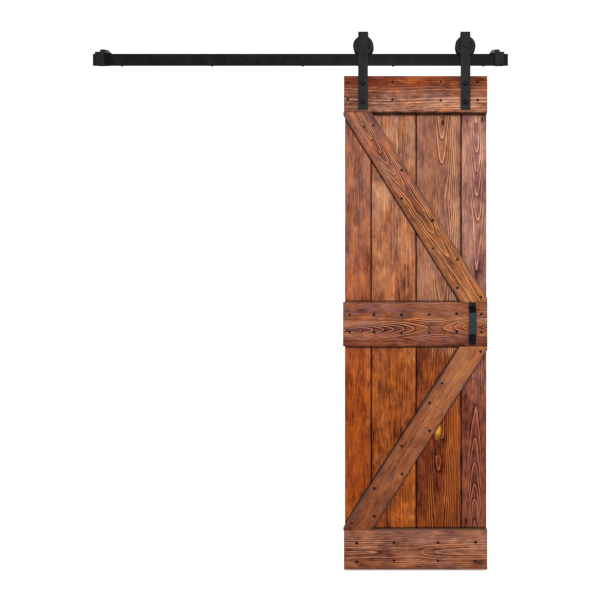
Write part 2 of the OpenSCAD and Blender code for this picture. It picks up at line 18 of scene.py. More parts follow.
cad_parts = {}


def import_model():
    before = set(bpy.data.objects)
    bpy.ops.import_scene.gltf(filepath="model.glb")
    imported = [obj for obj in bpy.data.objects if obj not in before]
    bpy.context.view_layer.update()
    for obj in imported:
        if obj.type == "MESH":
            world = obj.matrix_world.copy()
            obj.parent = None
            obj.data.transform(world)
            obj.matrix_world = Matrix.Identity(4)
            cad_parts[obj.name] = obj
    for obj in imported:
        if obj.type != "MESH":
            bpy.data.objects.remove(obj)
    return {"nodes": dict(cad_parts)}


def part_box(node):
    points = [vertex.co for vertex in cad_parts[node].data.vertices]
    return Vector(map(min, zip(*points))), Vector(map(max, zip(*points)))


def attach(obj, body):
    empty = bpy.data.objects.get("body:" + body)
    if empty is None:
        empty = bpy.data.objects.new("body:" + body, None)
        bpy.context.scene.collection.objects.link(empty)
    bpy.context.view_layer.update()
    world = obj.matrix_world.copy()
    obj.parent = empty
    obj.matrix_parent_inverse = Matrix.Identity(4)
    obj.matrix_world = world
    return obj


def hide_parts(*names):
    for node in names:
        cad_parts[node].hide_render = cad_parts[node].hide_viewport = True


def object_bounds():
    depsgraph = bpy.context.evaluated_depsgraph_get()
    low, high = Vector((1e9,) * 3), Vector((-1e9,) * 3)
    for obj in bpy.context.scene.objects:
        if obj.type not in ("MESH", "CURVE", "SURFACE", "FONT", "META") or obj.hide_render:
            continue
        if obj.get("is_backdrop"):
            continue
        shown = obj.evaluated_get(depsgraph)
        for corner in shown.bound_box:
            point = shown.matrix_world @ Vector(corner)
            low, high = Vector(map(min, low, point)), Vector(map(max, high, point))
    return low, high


LOG = logging.getLogger("barn_door")
MM = 0.001
WELD = 0.01 * MM  # points closer than this are one point
FULL_LIGHT = 2.2  # how many times the even room light the leaf gets once the key light is on
SHARP_CORNER = math.radians(32.0)  # corners sharper than this are eased
CREASE = math.radians(38.0)  # faces that meet at more than this keep a crisp edge
FACTOR, FIRST, SECOND, RESULT = 0, 6, 7, 2  # a colour Mix node's sockets
ROOM = Vector((0.0, -1.0, 0.0))  # towards the room
SHADED_RIM_MARK = "ring"  # the mark on a bolt head's outer ring, where a coat paints shade

Colour = tuple[float, float, float]
Socket = bpy.types.NodeSocket


def seen(red: float, green: float, blue: float) -> Colour:
    """Turn a colour as it looks on a screen in the studio's full light into the surface's own colour.

    Args:
        red: Red, 0 to 255.
        green: Green, 0 to 255.
        blue: Blue, 0 to 255.

    Returns:
        The linear colour, 0 to 1.
    """
    def linear(value: float) -> float:
        """Undo the screen's curve for one channel."""
        part = value / 255.0
        return part / 12.92 if part <= 0.04045 else ((part + 0.055) / 1.055) ** 2.4

    return tuple(linear(value) / FULL_LIGHT for value in (red, green, blue))


# ---------------------------------------------------------------------------
# Finishes
# ---------------------------------------------------------------------------


class Sketch:
    """A new material, with short calls that add shader nodes and join them up."""

    def __init__(self, name: str) -> None:
        """Start a material that holds a Principled shader and its output.

        Args:
            name: The material's name.
        """
        self.material = bpy.data.materials.new(name)
        self.material.use_nodes = True
        self.tree = self.material.node_tree
        self.tree.nodes.clear()
        self.shader = self.add("ShaderNodeBsdfPrincipled")
        output = self.add("ShaderNodeOutputMaterial")
        self.join(self.shader.outputs["BSDF"], output.inputs["Surface"])

    def add(self, kind: str, **settings: Any) -> bpy.types.Node:
        """Add a node and set its options.

        Args:
            kind: The node's class name.
            **settings: Options of the node, by attribute name.

        Returns:
            The node.
        """
        node = self.tree.nodes.new(kind)
        for key, value in settings.items():
            setattr(node, key, value)
        return node

    def join(self, source: Socket, target: Socket) -> None:
        """Link one socket to another."""
        self.tree.links.new(source, target)

    def feed(self, target: Socket, value: Any) -> None:
        """Give an input a value, or link it where the value is a socket."""
        if isinstance(value, Socket):
            self.join(value, target)
        else:
            target.default_value = value

    def maths(self, operation: str, *values: Any, clamp: bool = False) -> Socket:
        """Add a Math node.

        Args:
            operation: The operation's name.
            *values: Numbers or sockets, in order.
            clamp: Whether the result is held between 0 and 1.

        Returns:
            The result's socket.
        """
        node = self.add("ShaderNodeMath", operation=operation, use_clamp=clamp)
        for target, value in zip(node.inputs, values):
            self.feed(target, value)
        return node.outputs["Value"]

    def sway(self, value: Any, noise_value: Socket, amount: float) -> Socket:
        """Add a noise to a value, evenly to both sides.

        Args:
            value: A number or socket.
            noise_value: The noise, about 0 to 1.
            amount: How much a full step of the noise adds.

        Returns:
            The result's socket.
        """
        return self.maths("MULTIPLY_ADD", self.maths("SUBTRACT", noise_value, 0.5), amount, value)

    def between(self, amount: Socket, low: float, high: float) -> Socket:
        """Run from one number to another as an amount goes from 0 to 1."""
        return self.maths("MULTIPLY_ADD", amount, high - low, low)

    def apart(self, vector: Socket) -> tuple[Socket, Socket, Socket]:
        """Split a vector into its three parts."""
        node = self.add("ShaderNodeSeparateXYZ")
        self.join(vector, node.inputs[0])
        return tuple(node.outputs)

    def blend(self, amount: Any, first: Any, second: Any) -> Socket:
        """Mix two colours.

        Args:
            amount: How much of the second colour is taken, 0 to 1.
            first: A colour or socket.
            second: A colour or socket.

        Returns:
            The mixed colour's socket.
        """
        node = self.add("ShaderNodeMix", data_type="RGBA")
        self.feed(node.inputs[FACTOR], amount)
        for target, value in ((FIRST, first), (SECOND, second)):
            self.feed(node.inputs[target], (*value, 1.0) if isinstance(value, tuple) else value)
        return node.outputs[RESULT]

    def ramp(self, amount: Any, stops: Sequence[tuple[float, Any]]) -> Socket:
        """Look a value up on a colour ramp.

        Args:
            amount: The socket looked up.
            stops: Position and colour or grey level of each stop, in order.

        Returns:
            The colour's socket.
        """
        node = self.add("ShaderNodeValToRGB")
        elements = node.color_ramp.elements
        while len(elements) < len(stops):
            elements.new(0.5)
        for element, (place, value) in zip(elements, stops):
            element.position = place
            element.color = (*value, 1.0) if isinstance(value, tuple) else (value, value, value, 1.0)
        self.feed(node.inputs["Fac"], amount)
        return node.outputs["Color"]

    def speckle(self, place: Any, scale: float, detail: float = 2.0, rough: float = 0.5) -> Socket:
        """Add a noise texture.

        Args:
            place: The vector it reads.
            scale: Its scale.
            detail: How many finer layers it has.
            rough: How strong the finer layers are.

        Returns:
            The noise value's socket, about 0 to 1.
        """
        node = self.add("ShaderNodeTexNoise", noise_dimensions="3D")
        node.inputs["Scale"].default_value = scale
        node.inputs["Detail"].default_value = detail
        node.inputs["Roughness"].default_value = rough
        self.feed(node.inputs["Vector"], place)
        return node.outputs["Fac"]

    def place(self) -> Socket:
        """Return the object coordinates."""
        return self.add("ShaderNodeTexCoord").outputs["Object"]

    def mapped(self, place: Any, kind: str = "POINT", **settings: Any) -> Socket:
        """Move, turn or stretch a vector.

        Args:
            place: The vector.
            kind: POINT, or TEXTURE for the inverse.
            **settings: Location, Rotation or Scale values.

        Returns:
            The changed vector's socket.
        """
        node = self.add("ShaderNodeMapping", vector_type=kind)
        for key, value in settings.items():
            node.inputs[key].default_value = value
        self.feed(node.inputs["Vector"], place)
        return node.outputs["Vector"]

    def relief(self, height: Any, strength: float, depth: float) -> None:
        """Give the shader a bumpy surface.

        Args:
            height: The height's socket.
            strength: The bump's strength, 0 to 1.
            depth: The height of a full step, in metres.
        """
        bump = self.add("ShaderNodeBump")
        bump.inputs["Strength"].default_value = strength
        bump.inputs["Distance"].default_value = depth
        self.feed(bump.inputs["Height"], height)
        self.join(bump.outputs["Normal"], self.shader.inputs["Normal"])


@dataclass(frozen=True)
class Tone:
    """One stain's ramp of colours, all worked out from its middle tone."""

    mid: Colour
    steps: tuple[tuple[float, Colour], ...] = (
        (0.00, (0.10, 0.06, 0.06)),
        (0.24, (0.50, 0.40, 0.36)),
        (0.48, (1.00, 1.00, 1.00)),
        (0.74, (1.55, 1.72, 1.62)),
        (1.00, (2.40, 3.10, 2.90)),
    )

    def stops(self) -> list[tuple[float, Colour]]:
        """Return the ramp's stops, from an open pore to the palest growth line."""
        return [(at, tuple(m * f for m, f in zip(self.mid, factor))) for at, factor in self.steps]


class Stain(Enum):
    """The tones that one coat of stain takes on different boards."""

    SMOKED_RUSSET = Tone(seen(156, 94, 66))
    DEEP_AMBER = Tone(seen(150, 64, 4))
    TAN = Tone(seen(172, 116, 84))
    HONEY = Tone(seen(150, 72, 14))
    ROSE = Tone(seen(156, 102, 80))
    CHESTNUT = Tone(seen(120, 50, 12))
    DUSKY_ROSE = Tone(seen(168, 114, 96))
    MAROON = Tone(seen(122, 60, 40))
    BURNT_ORANGE = Tone(seen(114, 40, 0))
    ASH_ROSE = Tone(seen(156, 104, 82))
    BRICK = Tone(seen(138, 80, 53))
    FADED_BRICK = Tone(seen(154, 98, 74))
    PLUM = Tone(seen(122, 74, 80))
    COPPER = Tone(seen(156, 94, 54))
    WEATHERED = Tone(seen(128, 76, 59))
    UMBER = Tone(seen(112, 51, 27))
    CLAY = Tone(seen(152, 90, 56))
    EMBER = Tone(seen(178, 92, 38))


class Mark(Enum):
    """The tones that wear, dirt and stain leave on the boards, and the painted shade and painted light laid
    on them.
    """

    SAP = seen(226, 160, 46)
    GREY_BLOOM = seen(80, 64, 66)
    SOAKED_AND_SHADED_SIDE = seen(40, 18, 10)
    PAINTED_TOP_LIGHT = seen(196, 142, 112)
    DARK_JOINT = seen(14, 5, 2)
    GATHERED_STAIN = seen(26, 11, 6)
    SCREW_STAIN = seen(30, 20, 18)


class Figure(Enum):
    """The wood's patterns: how often each repeats across and along, its scale, detail and roughness."""

    BROAD_BEND = (2.0, 1.6, 1.6, 1.0, 0.5)
    FINE_BEND = (9.0, 6.5, 1.6, 2.0, 0.5)
    SLOW_DEPTH = (2.0, 3.0, 1.4, 1.0, 0.5)
    LINE_PATCH = (12.0, 3.0, 1.4, 3.0, 0.6)
    WAVER = (3.0, 2.0, 1.5, 2.0, 0.5)
    FIBRE = (280.0, 17.0, 1.0, 3.0, 0.65)
    PORE = (260.0, 14.0, 1.0, 1.0, 0.5)
    STREAK = (150.0, 2.2, 1.0, 3.0, 0.7)
    BAND = (40.0, 1.6, 1.0, 2.0, 0.5)
    BLOTCH = (11.0, 5.0, 1.0, 4.0, 0.62)
    DAPPLE = (52.0, 24.0, 1.0, 4.0, 0.7)
    CLOUD = (20.0, 8.0, 1.1, 5.0, 0.7)
    WARMTH = (24.0, 8.0, 1.0, 4.0, 0.65)
    HAZE = (16.0, 7.0, 1.3, 4.0, 0.65)


@dataclass(frozen=True)
class Spot:
    """A knot, or a swirl where the growth lines swing round a branch, in the board's own plane.

    Its swing is how far it pushes the lines, its core how dark and its sap how yellow it is.
    """

    across: float
    along: float
    radius: float = 0.018
    swing: float = 0.03
    core: float = 0.0
    sap: float = 0.0


@dataclass(frozen=True)
class Grain:
    """How the log's growth rings cross a board.

    The heart of the log runs under the board's face. Its place across the face and its depth
    below it are given at a few places along the board, from 0 at the foot to 1 at the head. The
    lines are as far apart as ring and as wide as width. A low bold makes more of them strong. They
    fade past the zone, given at foot and head, and sooner on the left where left is over 1.
    """

    heart: tuple[tuple[float, float], ...]
    depth: tuple[tuple[float, float], ...]
    ring: float = 0.006
    width: float = 0.0024
    bold: float = 0.42
    zone: tuple[float, float] = (0.12, 0.12)
    sway: float = 0.006
    slope: float = 0.10
    left: float = 1.0


@dataclass(frozen=True)
class Footing:
    """Where a board lies: its centre, its turn, half its width, length and thickness.

    Its shade reach says how wide the painted shade beside it is, on the boards under it, against a brace's.
    """

    centre: Vector
    facing: Euler
    half: tuple[float, float, float]
    shade_reach: float = 1.0


PER_20_MM = 50.0  # turns metres into parts of 20 mm
LINE_CONTRAST = 2.4  # how much a growth line's tone counts, against the other layers
RING_STEP = 0.73  # how far each ring moves along the noise that gives it its strength
FIBRE_WAVER = 30.0 * MM  # how far the fibres wander to the side
KNOT_LENGTH = 2.2  # how long a knot is, along the board, for its width
HEART_SPAN, DEPTH_SPAN = 0.4, 0.1  # the largest places that a log's heart is drawn at, across and down
LINE_PROFILE = ((0.30, 0.5), (0.42, 1.0), (0.55, 0.95), (0.62, 0.28), (0.70, 0.25), (0.98, 0.5))


@dataclass(frozen=True)
class StainedPine:
    """Sawn pine with a rubbed stain: pale growth lines that follow the log the board came from.

    The stain turns from lower to upper about turn_at, over a length of turn_over, along the board
    or across it. Smudge is the grey bloom and swing the contrast, each for the lower and the upper
    part. Seams say which sides, left and right, meet another board; painted shade goes into those
    joints. The soak sets how dark the sawn sides and holes get, from stain taken up and painted shade.
    """

    name: str
    lie: Footing
    upper: Stain
    lower: Stain
    grain: Grain
    fleck: Stain = Stain.PLUM
    mottle: float = 0.5
    glow: float = 0.35
    turn_at: float = 0.0
    turn_over: float = 0.5
    turn_across: bool = False
    lines: float = 0.30
    level: float = 0.48
    streaks: float = 0.55
    spots: tuple[Spot, ...] = ()
    smudge: tuple[float, float] = (0.25, 0.25)
    swing: tuple[float, float] = (1.0, 1.0)
    edge_smudge: float = 0.0
    seams: tuple[bool, bool] = (False, False)
    soak_and_shade: float = 0.35
    seed: float = 0.0
    over: tuple[Footing, ...] = ()
    holes: tuple[Vector, ...] = ()

    def figure(self, s: Sketch, vector: Socket, kind: Figure, order: str = "xyz") -> Socket:
        """Lay one of the wood's patterns over the board.

        Args:
            s: The material being made.
            vector: The point in the board's own directions.
            kind: The pattern.
            order: The order in which the board's own offsets are used, so that patterns differ.

        Returns:
            The pattern's socket, about 0 to 1.
        """
        across, along, scale, detail, rough = kind.value
        far = dict(x=self.seed * 3.7, y=self.seed * 1.3, z=self.seed * 2.1)
        moved = s.mapped(vector, Location=[far[axis] for axis in order], Scale=(across, along, across))
        return s.speckle(moved, scale, detail, rough)

    def drawn(self, s: Sketch, place: Socket, stops: Sequence[tuple[float, float]], span: float) -> Socket:
        """Draw a smooth curve through a few values along the board.

        Args:
            s: The material being made.
            place: The place along the board, 0 to 1.
            stops: The places and their values, in metres.
            span: The largest value, either way.

        Returns:
            The value's socket, in metres.
        """
        node = s.add("ShaderNodeValToRGB")
        ramp = node.color_ramp
        ramp.interpolation = "B_SPLINE"
        while len(ramp.elements) < len(stops):
            ramp.elements.new(0.5)
        for element, (at, value) in zip(ramp.elements, stops):
            grey = 0.5 + 0.5 * value / span
            element.position = at
            element.color = (grey, grey, grey, 1.0)
        s.join(place, node.inputs["Fac"])
        return s.maths("MULTIPLY_ADD", node.outputs["Color"], 2.0 * span, -span)

    def knots(self, s: Sketch, across: Socket, along: Socket, radius: Socket) -> tuple[Socket, Any, Any]:
        """Swing the growth lines round the board's knots.

        Args:
            s: The material being made.
            across: The place across the board.
            along: The place along the board.
            radius: The distance from the log's heart.

        Returns:
            The changed distance, and how much dark core and yellow sap show.
        """
        core: Any = 0.0
        sap: Any = 0.0
        for knot in self.spots:
            beside = s.maths("DIVIDE", s.maths("SUBTRACT", across, knot.across), knot.radius)
            beyond = s.maths("DIVIDE", s.maths("SUBTRACT", along, knot.along), KNOT_LENGTH * knot.radius)
            reach = s.maths("ADD", s.maths("MULTIPLY", beside, beside), s.maths("MULTIPLY", beyond, beyond))
            hump = s.maths("POWER", math.e, s.maths("MULTIPLY", reach, -1.0))
            radius = s.maths("MULTIPLY_ADD", hump, knot.swing, radius)
            tight = s.maths("POWER", math.e, s.maths("MULTIPLY", reach, -5.0))
            if knot.core:
                core = s.maths("MULTIPLY_ADD", tight, knot.core, core)
            if knot.sap:
                sap = s.maths("MULTIPLY_ADD", tight, knot.sap, sap)
        return radius, core, sap

    def growth(self, s: Sketch, local: Socket) -> tuple[Socket, Socket, Any, Any]:
        """Work out the growth lines.

        Args:
            s: The material being made.
            local: The point's place across, along and out of the board.

        Returns:
            The lines' tone, the ring count, and the dark and the sap of knots.
        """
        across, along, out = s.apart(local)
        g = self.grain
        place = s.maths("MULTIPLY_ADD", along, 0.5 / self.lie.half[1], 0.5)
        side = s.maths("SUBTRACT", across, self.drawn(s, place, g.heart, HEART_SPAN))
        side = s.sway(side, self.figure(s, local, Figure.BROAD_BEND), 3.0 * g.sway)
        side = s.sway(side, self.figure(s, local, Figure.FINE_BEND), 1.2 * g.sway)
        depth = self.drawn(s, place, g.depth, DEPTH_SPAN)
        depth = s.maths("ADD", depth, s.maths("SUBTRACT", out, self.lie.half[2]))
        depth = s.sway(depth, self.figure(s, local, Figure.SLOW_DEPTH, "yzx"), 0.5 * g.sway)
        side_two = s.maths("MULTIPLY", side, side)
        depth_two = s.maths("MULTIPLY", depth, depth)
        heart_radius = s.maths("SQRT", s.maths("ADD", side_two, depth_two))
        steep = s.maths("SQRT", s.maths("MULTIPLY_ADD", depth_two, g.slope**2, side_two))
        steep = s.maths("DIVIDE", steep, heart_radius)
        radius, core, sap = self.knots(s, across, along, heart_radius)

        # each line keeps an even width on the face, with a dark side where the late wood ends
        phase = s.maths("DIVIDE", radius, g.ring)
        offset = s.maths("DIVIDE", s.maths("SUBTRACT", s.maths("FRACT", phase), 0.5), steep)
        offset = s.maths("MULTIPLY_ADD", offset, g.ring / (6.0 * g.width), 0.5)
        line = s.ramp(offset, LINE_PROFILE)
        # each ring has its own strength, so that some are bold and others hardly show
        count = s.add("ShaderNodeTexNoise", noise_dimensions="1D")
        s.join(s.maths("MULTIPLY_ADD", s.maths("FLOOR", phase), RING_STEP, self.seed), count.inputs["W"])
        count.inputs["Scale"].default_value = 2.0
        count.inputs["Detail"].default_value = 0.0
        strength = s.ramp(count.outputs["Fac"], [(g.bold, 0.15), (g.bold + 0.2, 1.0)])
        reach = s.ramp(self.figure(s, local, Figure.LINE_PATCH), [(0.34, 0.45), (0.56, 1.0)])
        beyond = s.maths("MAXIMUM", side, s.maths("MULTIPLY", side, -g.left))
        beyond = s.maths("DIVIDE", beyond, s.between(place, *g.zone))
        within = s.ramp(beyond, [(0.7, 1.0), (1.0, 0.16)])
        tone = s.maths("MULTIPLY", s.maths("SUBTRACT", line, 0.5), s.maths("MULTIPLY", strength, reach))
        return s.maths("MULTIPLY", tone, within), phase, core, sap

    def layered(
        self, s: Sketch, local: Socket, growth: Socket, phase: Socket
    ) -> tuple[Socket, Socket, Socket]:
        """Lay the fibres, streaks, pores and broad patches over the growth lines.

        Args:
            s: The material being made.
            local: The point's place across, along and out of the board.
            growth: The growth lines' tone.
            phase: The ring count.

        Returns:
            The tone, how far the upper stain shows, and the fibres.
        """
        across, along, out = s.apart(local)
        bent = s.add("ShaderNodeCombineXYZ")
        wandered = s.maths("MULTIPLY_ADD", self.figure(s, local, Figure.WAVER), FIBRE_WAVER, across)
        for target, value in zip(bent.inputs, (wandered, along, out)):
            s.join(value, target)
        bent = bent.outputs[0]
        hair = s.maths("PINGPONG", s.maths("MULTIPLY", phase, 2.0), 1.0)
        fibre = self.figure(s, bent, Figure.FIBRE)
        streak = self.figure(s, bent, Figure.STREAK)
        thread = s.ramp(streak, [(0.34, 0.0), (0.46, 0.5), (0.54, 0.5), (0.66, 1.0)])
        blotch = self.figure(s, local, Figure.BLOTCH)
        tone = s.maths("MULTIPLY_ADD", growth, LINE_CONTRAST * self.lines, self.level)
        for layer, weight in (
            (hair, 0.06), (fibre, 0.62), (thread, 0.50 * self.streaks),
            (self.figure(s, bent, Figure.BAND), 0.30 * self.streaks),
            (blotch, 0.95), (self.figure(s, local, Figure.DAPPLE), 0.62),
        ):
            tone = s.sway(tone, layer, weight)
        open_pores = s.ramp(self.figure(s, bent, Figure.PORE), [(0.58, 0.0), (0.70, 1.0)])
        tone = s.maths("MULTIPLY_ADD", open_pores, -0.20, tone)
        shift = s.maths("DIVIDE", across, -1.0) if self.turn_across else along
        shift = s.sway(shift, blotch, 0.05 if self.turn_across else 0.5)
        turn = s.maths("SUBTRACT", shift, self.turn_at)
        turn = s.maths("MULTIPLY_ADD", turn, 1.0 / self.turn_over, 0.5, clamp=True)
        off_level = s.maths("SUBTRACT", tone, self.level)
        tone = s.maths("MULTIPLY_ADD", off_level, s.between(turn, *self.swing), self.level)
        return tone, turn, fibre

    def make(self) -> bpy.types.Material:
        """Build the material.

        Returns:
            The material, for one board.
        """
        s = Sketch(self.name)
        place = s.place()
        local = s.mapped(place, "TEXTURE", Location=self.lie.centre, Rotation=self.lie.facing)
        across, _, out = s.apart(local)
        growth, phase, core, sap = self.growth(s, local)
        tone, turn, fibre = self.layered(s, local, growth, phase)
        rim = s.maths("DIVIDE", s.maths("ABSOLUTE", across), self.lie.half[0])
        tone = s.maths("MULTIPLY_ADD", s.ramp(rim, [(0.93, 0.0), (1.0, 1.0)]), -0.16, tone)
        tone = s.maths("SUBTRACT", tone, core, clamp=True)

        stains = (self.lower, self.upper, self.fleck, Stain.EMBER)
        lower, upper, fleck_tone, ember = (s.ramp(tone, stain.value.stops()) for stain in stains)
        colour = s.blend(turn, lower, upper)
        cloud = self.figure(s, local, Figure.CLOUD, "zxy")
        fleck = s.maths("MULTIPLY", s.ramp(cloud, [(0.46, 0.0), (0.62, 1.0)]), self.mottle)
        fleck = s.maths("MULTIPLY", fleck, s.between(turn, 0.3, 1.0))
        colour = s.blend(fleck, colour, fleck_tone)
        warmth = self.figure(s, local, Figure.WARMTH, "xzy")
        glow = s.maths("MULTIPLY", s.ramp(warmth, [(0.50, 0.0), (0.64, 1.0)]), self.glow)
        colour = s.blend(glow, colour, ember)
        if isinstance(sap, Socket):
            colour = s.blend(s.maths("MULTIPLY", sap, 1.0, clamp=True), colour, Mark.SAP.value)

        # a grey bloom where stain and dirt gathered, most of it along the worn edges
        haze = self.figure(s, local, Figure.HAZE, "yxz")
        bloom = s.ramp(haze, [(0.53, 0.0), (0.70, 1.0)])
        bloom = s.maths("MULTIPLY", bloom, s.between(turn, *self.smudge))
        if self.edge_smudge:
            worn = s.ramp(s.sway(rim, haze, 0.7), [(0.84, 0.0), (1.0, 1.0)])
            bloom = s.maths("MAXIMUM", bloom, s.maths("MULTIPLY", worn, self.edge_smudge))
        colour = s.blend(bloom, colour, Mark.GREY_BLOOM.value)
        colour = self.soak_and_painted_shading(s, colour, across, out)
        colour = self.painted_contact_shade_and_screw_stain(s, colour, place, out, haze)
        s.join(colour, s.shader.inputs["Base Color"])

        s.join(s.ramp(tone, [(0.0, 0.74), (0.5, 0.58), (1.0, 0.46)]), s.shader.inputs["Roughness"])
        s.shader.inputs["Specular IOR Level"].default_value = 0.06
        height = s.maths("ADD", s.maths("MULTIPLY", tone, 0.8), s.maths("MULTIPLY", fibre, 0.5))
        s.relief(height, 0.5, 0.8 * MM)
        return s.material

    def soak_and_painted_shading(self, s: Sketch, colour: Socket, across: Socket, out: Socket) -> Socket:
        """Darken the sawn sides and holes, partly as stain they took up and partly as painted shade, paint
        shade into the joints, and paint light on what faces up.

        Args:
            s: The material being made.
            colour: The board's colour.
            across: The place across the board.
            out: The place out of the board.

        Returns:
            The changed colour.
        """
        # sawn sides and holes below the face are darker: stain taken up, and painted shade
        thick = 2.0 * self.lie.half[2]
        below = s.maths("DIVIDE", s.maths("SUBTRACT", self.lie.half[2], out), thick)
        start, full = 0.6 * MM / thick, 1.6 * MM / thick
        side = s.ramp(below, [(start, 0.0), (full, 1.0), (1.0 - full, 1.0), (1.0 - start, 0.0)])
        colour = s.blend(s.maths("MULTIPLY", side, self.soak_and_shade), colour, Mark.SOAKED_AND_SHADED_SIDE.value)
        # painted light: faces that point up are made paler, as if lit from above
        upward = s.apart(s.add("ShaderNodeNewGeometry").outputs["Normal"])[2]
        colour = s.blend(s.maths("MULTIPLY", upward, 0.45, clamp=True), colour, Mark.PAINTED_TOP_LIGHT.value)
        # painted shade in the joints between planks
        for joint, sign in zip(self.seams, (-1.0, 1.0)):
            if joint:
                edge = s.maths("MULTIPLY", across, sign)
                edge = s.maths("GREATER_THAN", edge, self.lie.half[0] - 1.8 * MM)
                colour = s.blend(s.maths("MULTIPLY", side, edge), colour, Mark.DARK_JOINT.value)
        return colour

    def painted_contact_shade_and_screw_stain(self, s: Sketch, colour: Socket, place: Socket, out: Socket, haze: Socket) -> Socket:
        """Paint shade on the face along the boards nailed over it, and darken it round the screws, where
        stain pooled.

        Args:
            s: The material being made.
            colour: The board's colour.
            place: The object coordinates.
            out: The place out of the board.
            haze: A noise that breaks the dark places up.

        Returns:
            The darkened colour.
        """
        # painted shade: a dark line on the face along each board nailed over it, as if in its shadow
        near: Any = 1.0
        for board in self.over:
            across, along, _ = s.apart(
                s.mapped(place, "TEXTURE", Location=board.centre, Rotation=board.facing))
            beside = s.maths("SUBTRACT", s.maths("ABSOLUTE", across), board.half[0])
            beyond = s.maths("SUBTRACT", s.maths("ABSOLUTE", along), board.half[1])
            gap = s.maths("MULTIPLY", s.maths("MAXIMUM", beside, beyond), PER_20_MM / board.shade_reach)
            near = s.maths("MINIMUM", near, gap)
        if self.over:
            front = s.maths("GREATER_THAN", out, self.lie.half[2] - 4.0 * MM)
            dark = s.maths("MULTIPLY", s.ramp(near, [(0.10, 0.90), (0.20, 0.50), (0.42, 0.0)]), front)
            colour = s.blend(dark, colour, Mark.GATHERED_STAIN.value)
        away: Any = 1.0
        for hole in self.holes:
            reach = s.add("ShaderNodeVectorMath", operation="DISTANCE")
            s.join(place, reach.inputs[0])
            reach.inputs[1].default_value = hole
            away = s.maths("MINIMUM", away, reach.outputs["Value"])
        if self.holes:
            ragged = s.maths("MULTIPLY", s.sway(away, haze, 12.0 * MM), PER_20_MM)
            dark = s.ramp(ragged, [(0.22, 0.85), (0.40, 0.0)])
            colour = s.blend(dark, colour, Mark.SCREW_STAIN.value)
        return colour


@dataclass(frozen=True)
class CoatedSteel:
    """Steel under a black coat: a fine orange-peel skin with a few worn, paler places.

    The paler tone shows in worn patches, and mostly in place of them: as painted light on a grip's
    room side, in front of a given depth; as a paler ring on a disc whose hub gives its centre and
    radius; or as painted light on a bolt head's flat top, inside painted shade on its outer ring.
    """

    name: str
    colour: Colour
    # the paler tone: worn patches, and painted light on a grip's front and a bolt head's top
    rubbed_and_lit: Colour
    roughness: float = 0.58
    peel: float = 900.0
    depth: float = 0.00006
    gloss: float = 0.05
    # the depth in front of which a grip is painted pale as if lit, the rest dark as if in shade
    lit_front_depth: float | None = None
    hub: tuple[float, float, float] | None = None
    # whether a bolt head's outer ring gets painted shade and its flat top painted light
    shaded_rim: bool = False

    def worn(self, s: Sketch, place: Any, cloud: Any) -> Any:
        """Work out where the paler tone shows: in worn patches, on a disc's paler ring, and as painted
        light on grips and bolt heads.

        Args:
            s: The material being made.
            place: The object coordinates.
            cloud: A noise that breaks the tone up.

        Returns:
            How much of the paler tone shows, 0 to 1.
        """
        patches = s.ramp(cloud, [(0.42, 0.0), (0.72, 1.0)])
        x, y, z = s.apart(place)
        if self.lit_front_depth is not None:
            # painted light: the grip's room side is painted paler as if lit, and its legs darker as if in
            # shade
            front = s.maths("SUBTRACT", self.lit_front_depth, y)
            part = s.maths("MULTIPLY_ADD", front, 250.0, 0.5, clamp=True)
        elif self.hub is not None:
            # the disc is painted with a paler ring inside its black rim
            centre_x, centre_z, rim = self.hub
            side = s.maths("SUBTRACT", x, centre_x)
            rise = s.maths("SUBTRACT", z, centre_z)
            reach = s.maths("ADD", s.maths("MULTIPLY", side, side), s.maths("MULTIPLY", rise, rise))
            reach = s.maths("DIVIDE", s.maths("SQRT", reach), rim)
            part = s.ramp(reach, [(0.70, 0.35), (0.74, 0.1), (0.78, 0.9), (0.84, 0.9), (0.87, 0.0)])
        elif self.shaded_rim:
            # painted shade on the bolt head's outer ring, painted light on its flat top
            painted = s.add("ShaderNodeAttribute", attribute_name=SHADED_RIM_MARK).outputs["Fac"]
            part = s.maths("SUBTRACT", 1.0, painted)
        else:
            return patches
        return s.maths("MULTIPLY_ADD", patches, 0.2, s.maths("MULTIPLY", part, 0.8), clamp=True)

    def make(self) -> bpy.types.Material:
        """Build the material.

        Returns:
            The material.
        """
        s = Sketch(self.name)
        place = s.place()
        cloud = s.speckle(place, 22.0, 5.0, 0.6)
        skin = s.speckle(place, self.peel, 2.0, 0.5)
        colour = s.blend(self.worn(s, place, cloud), self.colour, self.rubbed_and_lit)
        s.join(colour, s.shader.inputs["Base Color"])
        rough = s.sway(s.sway(self.roughness, cloud, 0.22), skin, 0.12)
        s.join(rough, s.shader.inputs["Roughness"])
        s.shader.inputs["Specular IOR Level"].default_value = self.gloss
        s.relief(skin, 0.5, self.depth)
        return s.material


@dataclass(frozen=True)
class BrightSteel:
    """Turned and ground steel, lightly oiled."""

    name: str
    colour: Colour = (0.46, 0.47, 0.48)

    def make(self) -> bpy.types.Material:
        """Build the material.

        Returns:
            The material.
        """
        s = Sketch(self.name)
        place = s.place()
        turned = s.speckle(s.mapped(place, Scale=(1.0, 60.0, 1.0)), 60.0, 2.0)
        oil = s.speckle(place, 90.0, 3.0)
        s.join(s.blend(oil, self.colour, (0.34, 0.33, 0.31)), s.shader.inputs["Base Color"])
        s.join(s.maths("MULTIPLY_ADD", turned, 0.22, 0.18), s.shader.inputs["Roughness"])
        s.shader.inputs["Metallic"].default_value = 1.0
        s.relief(turned, 0.2, 0.00003)
        return s.material


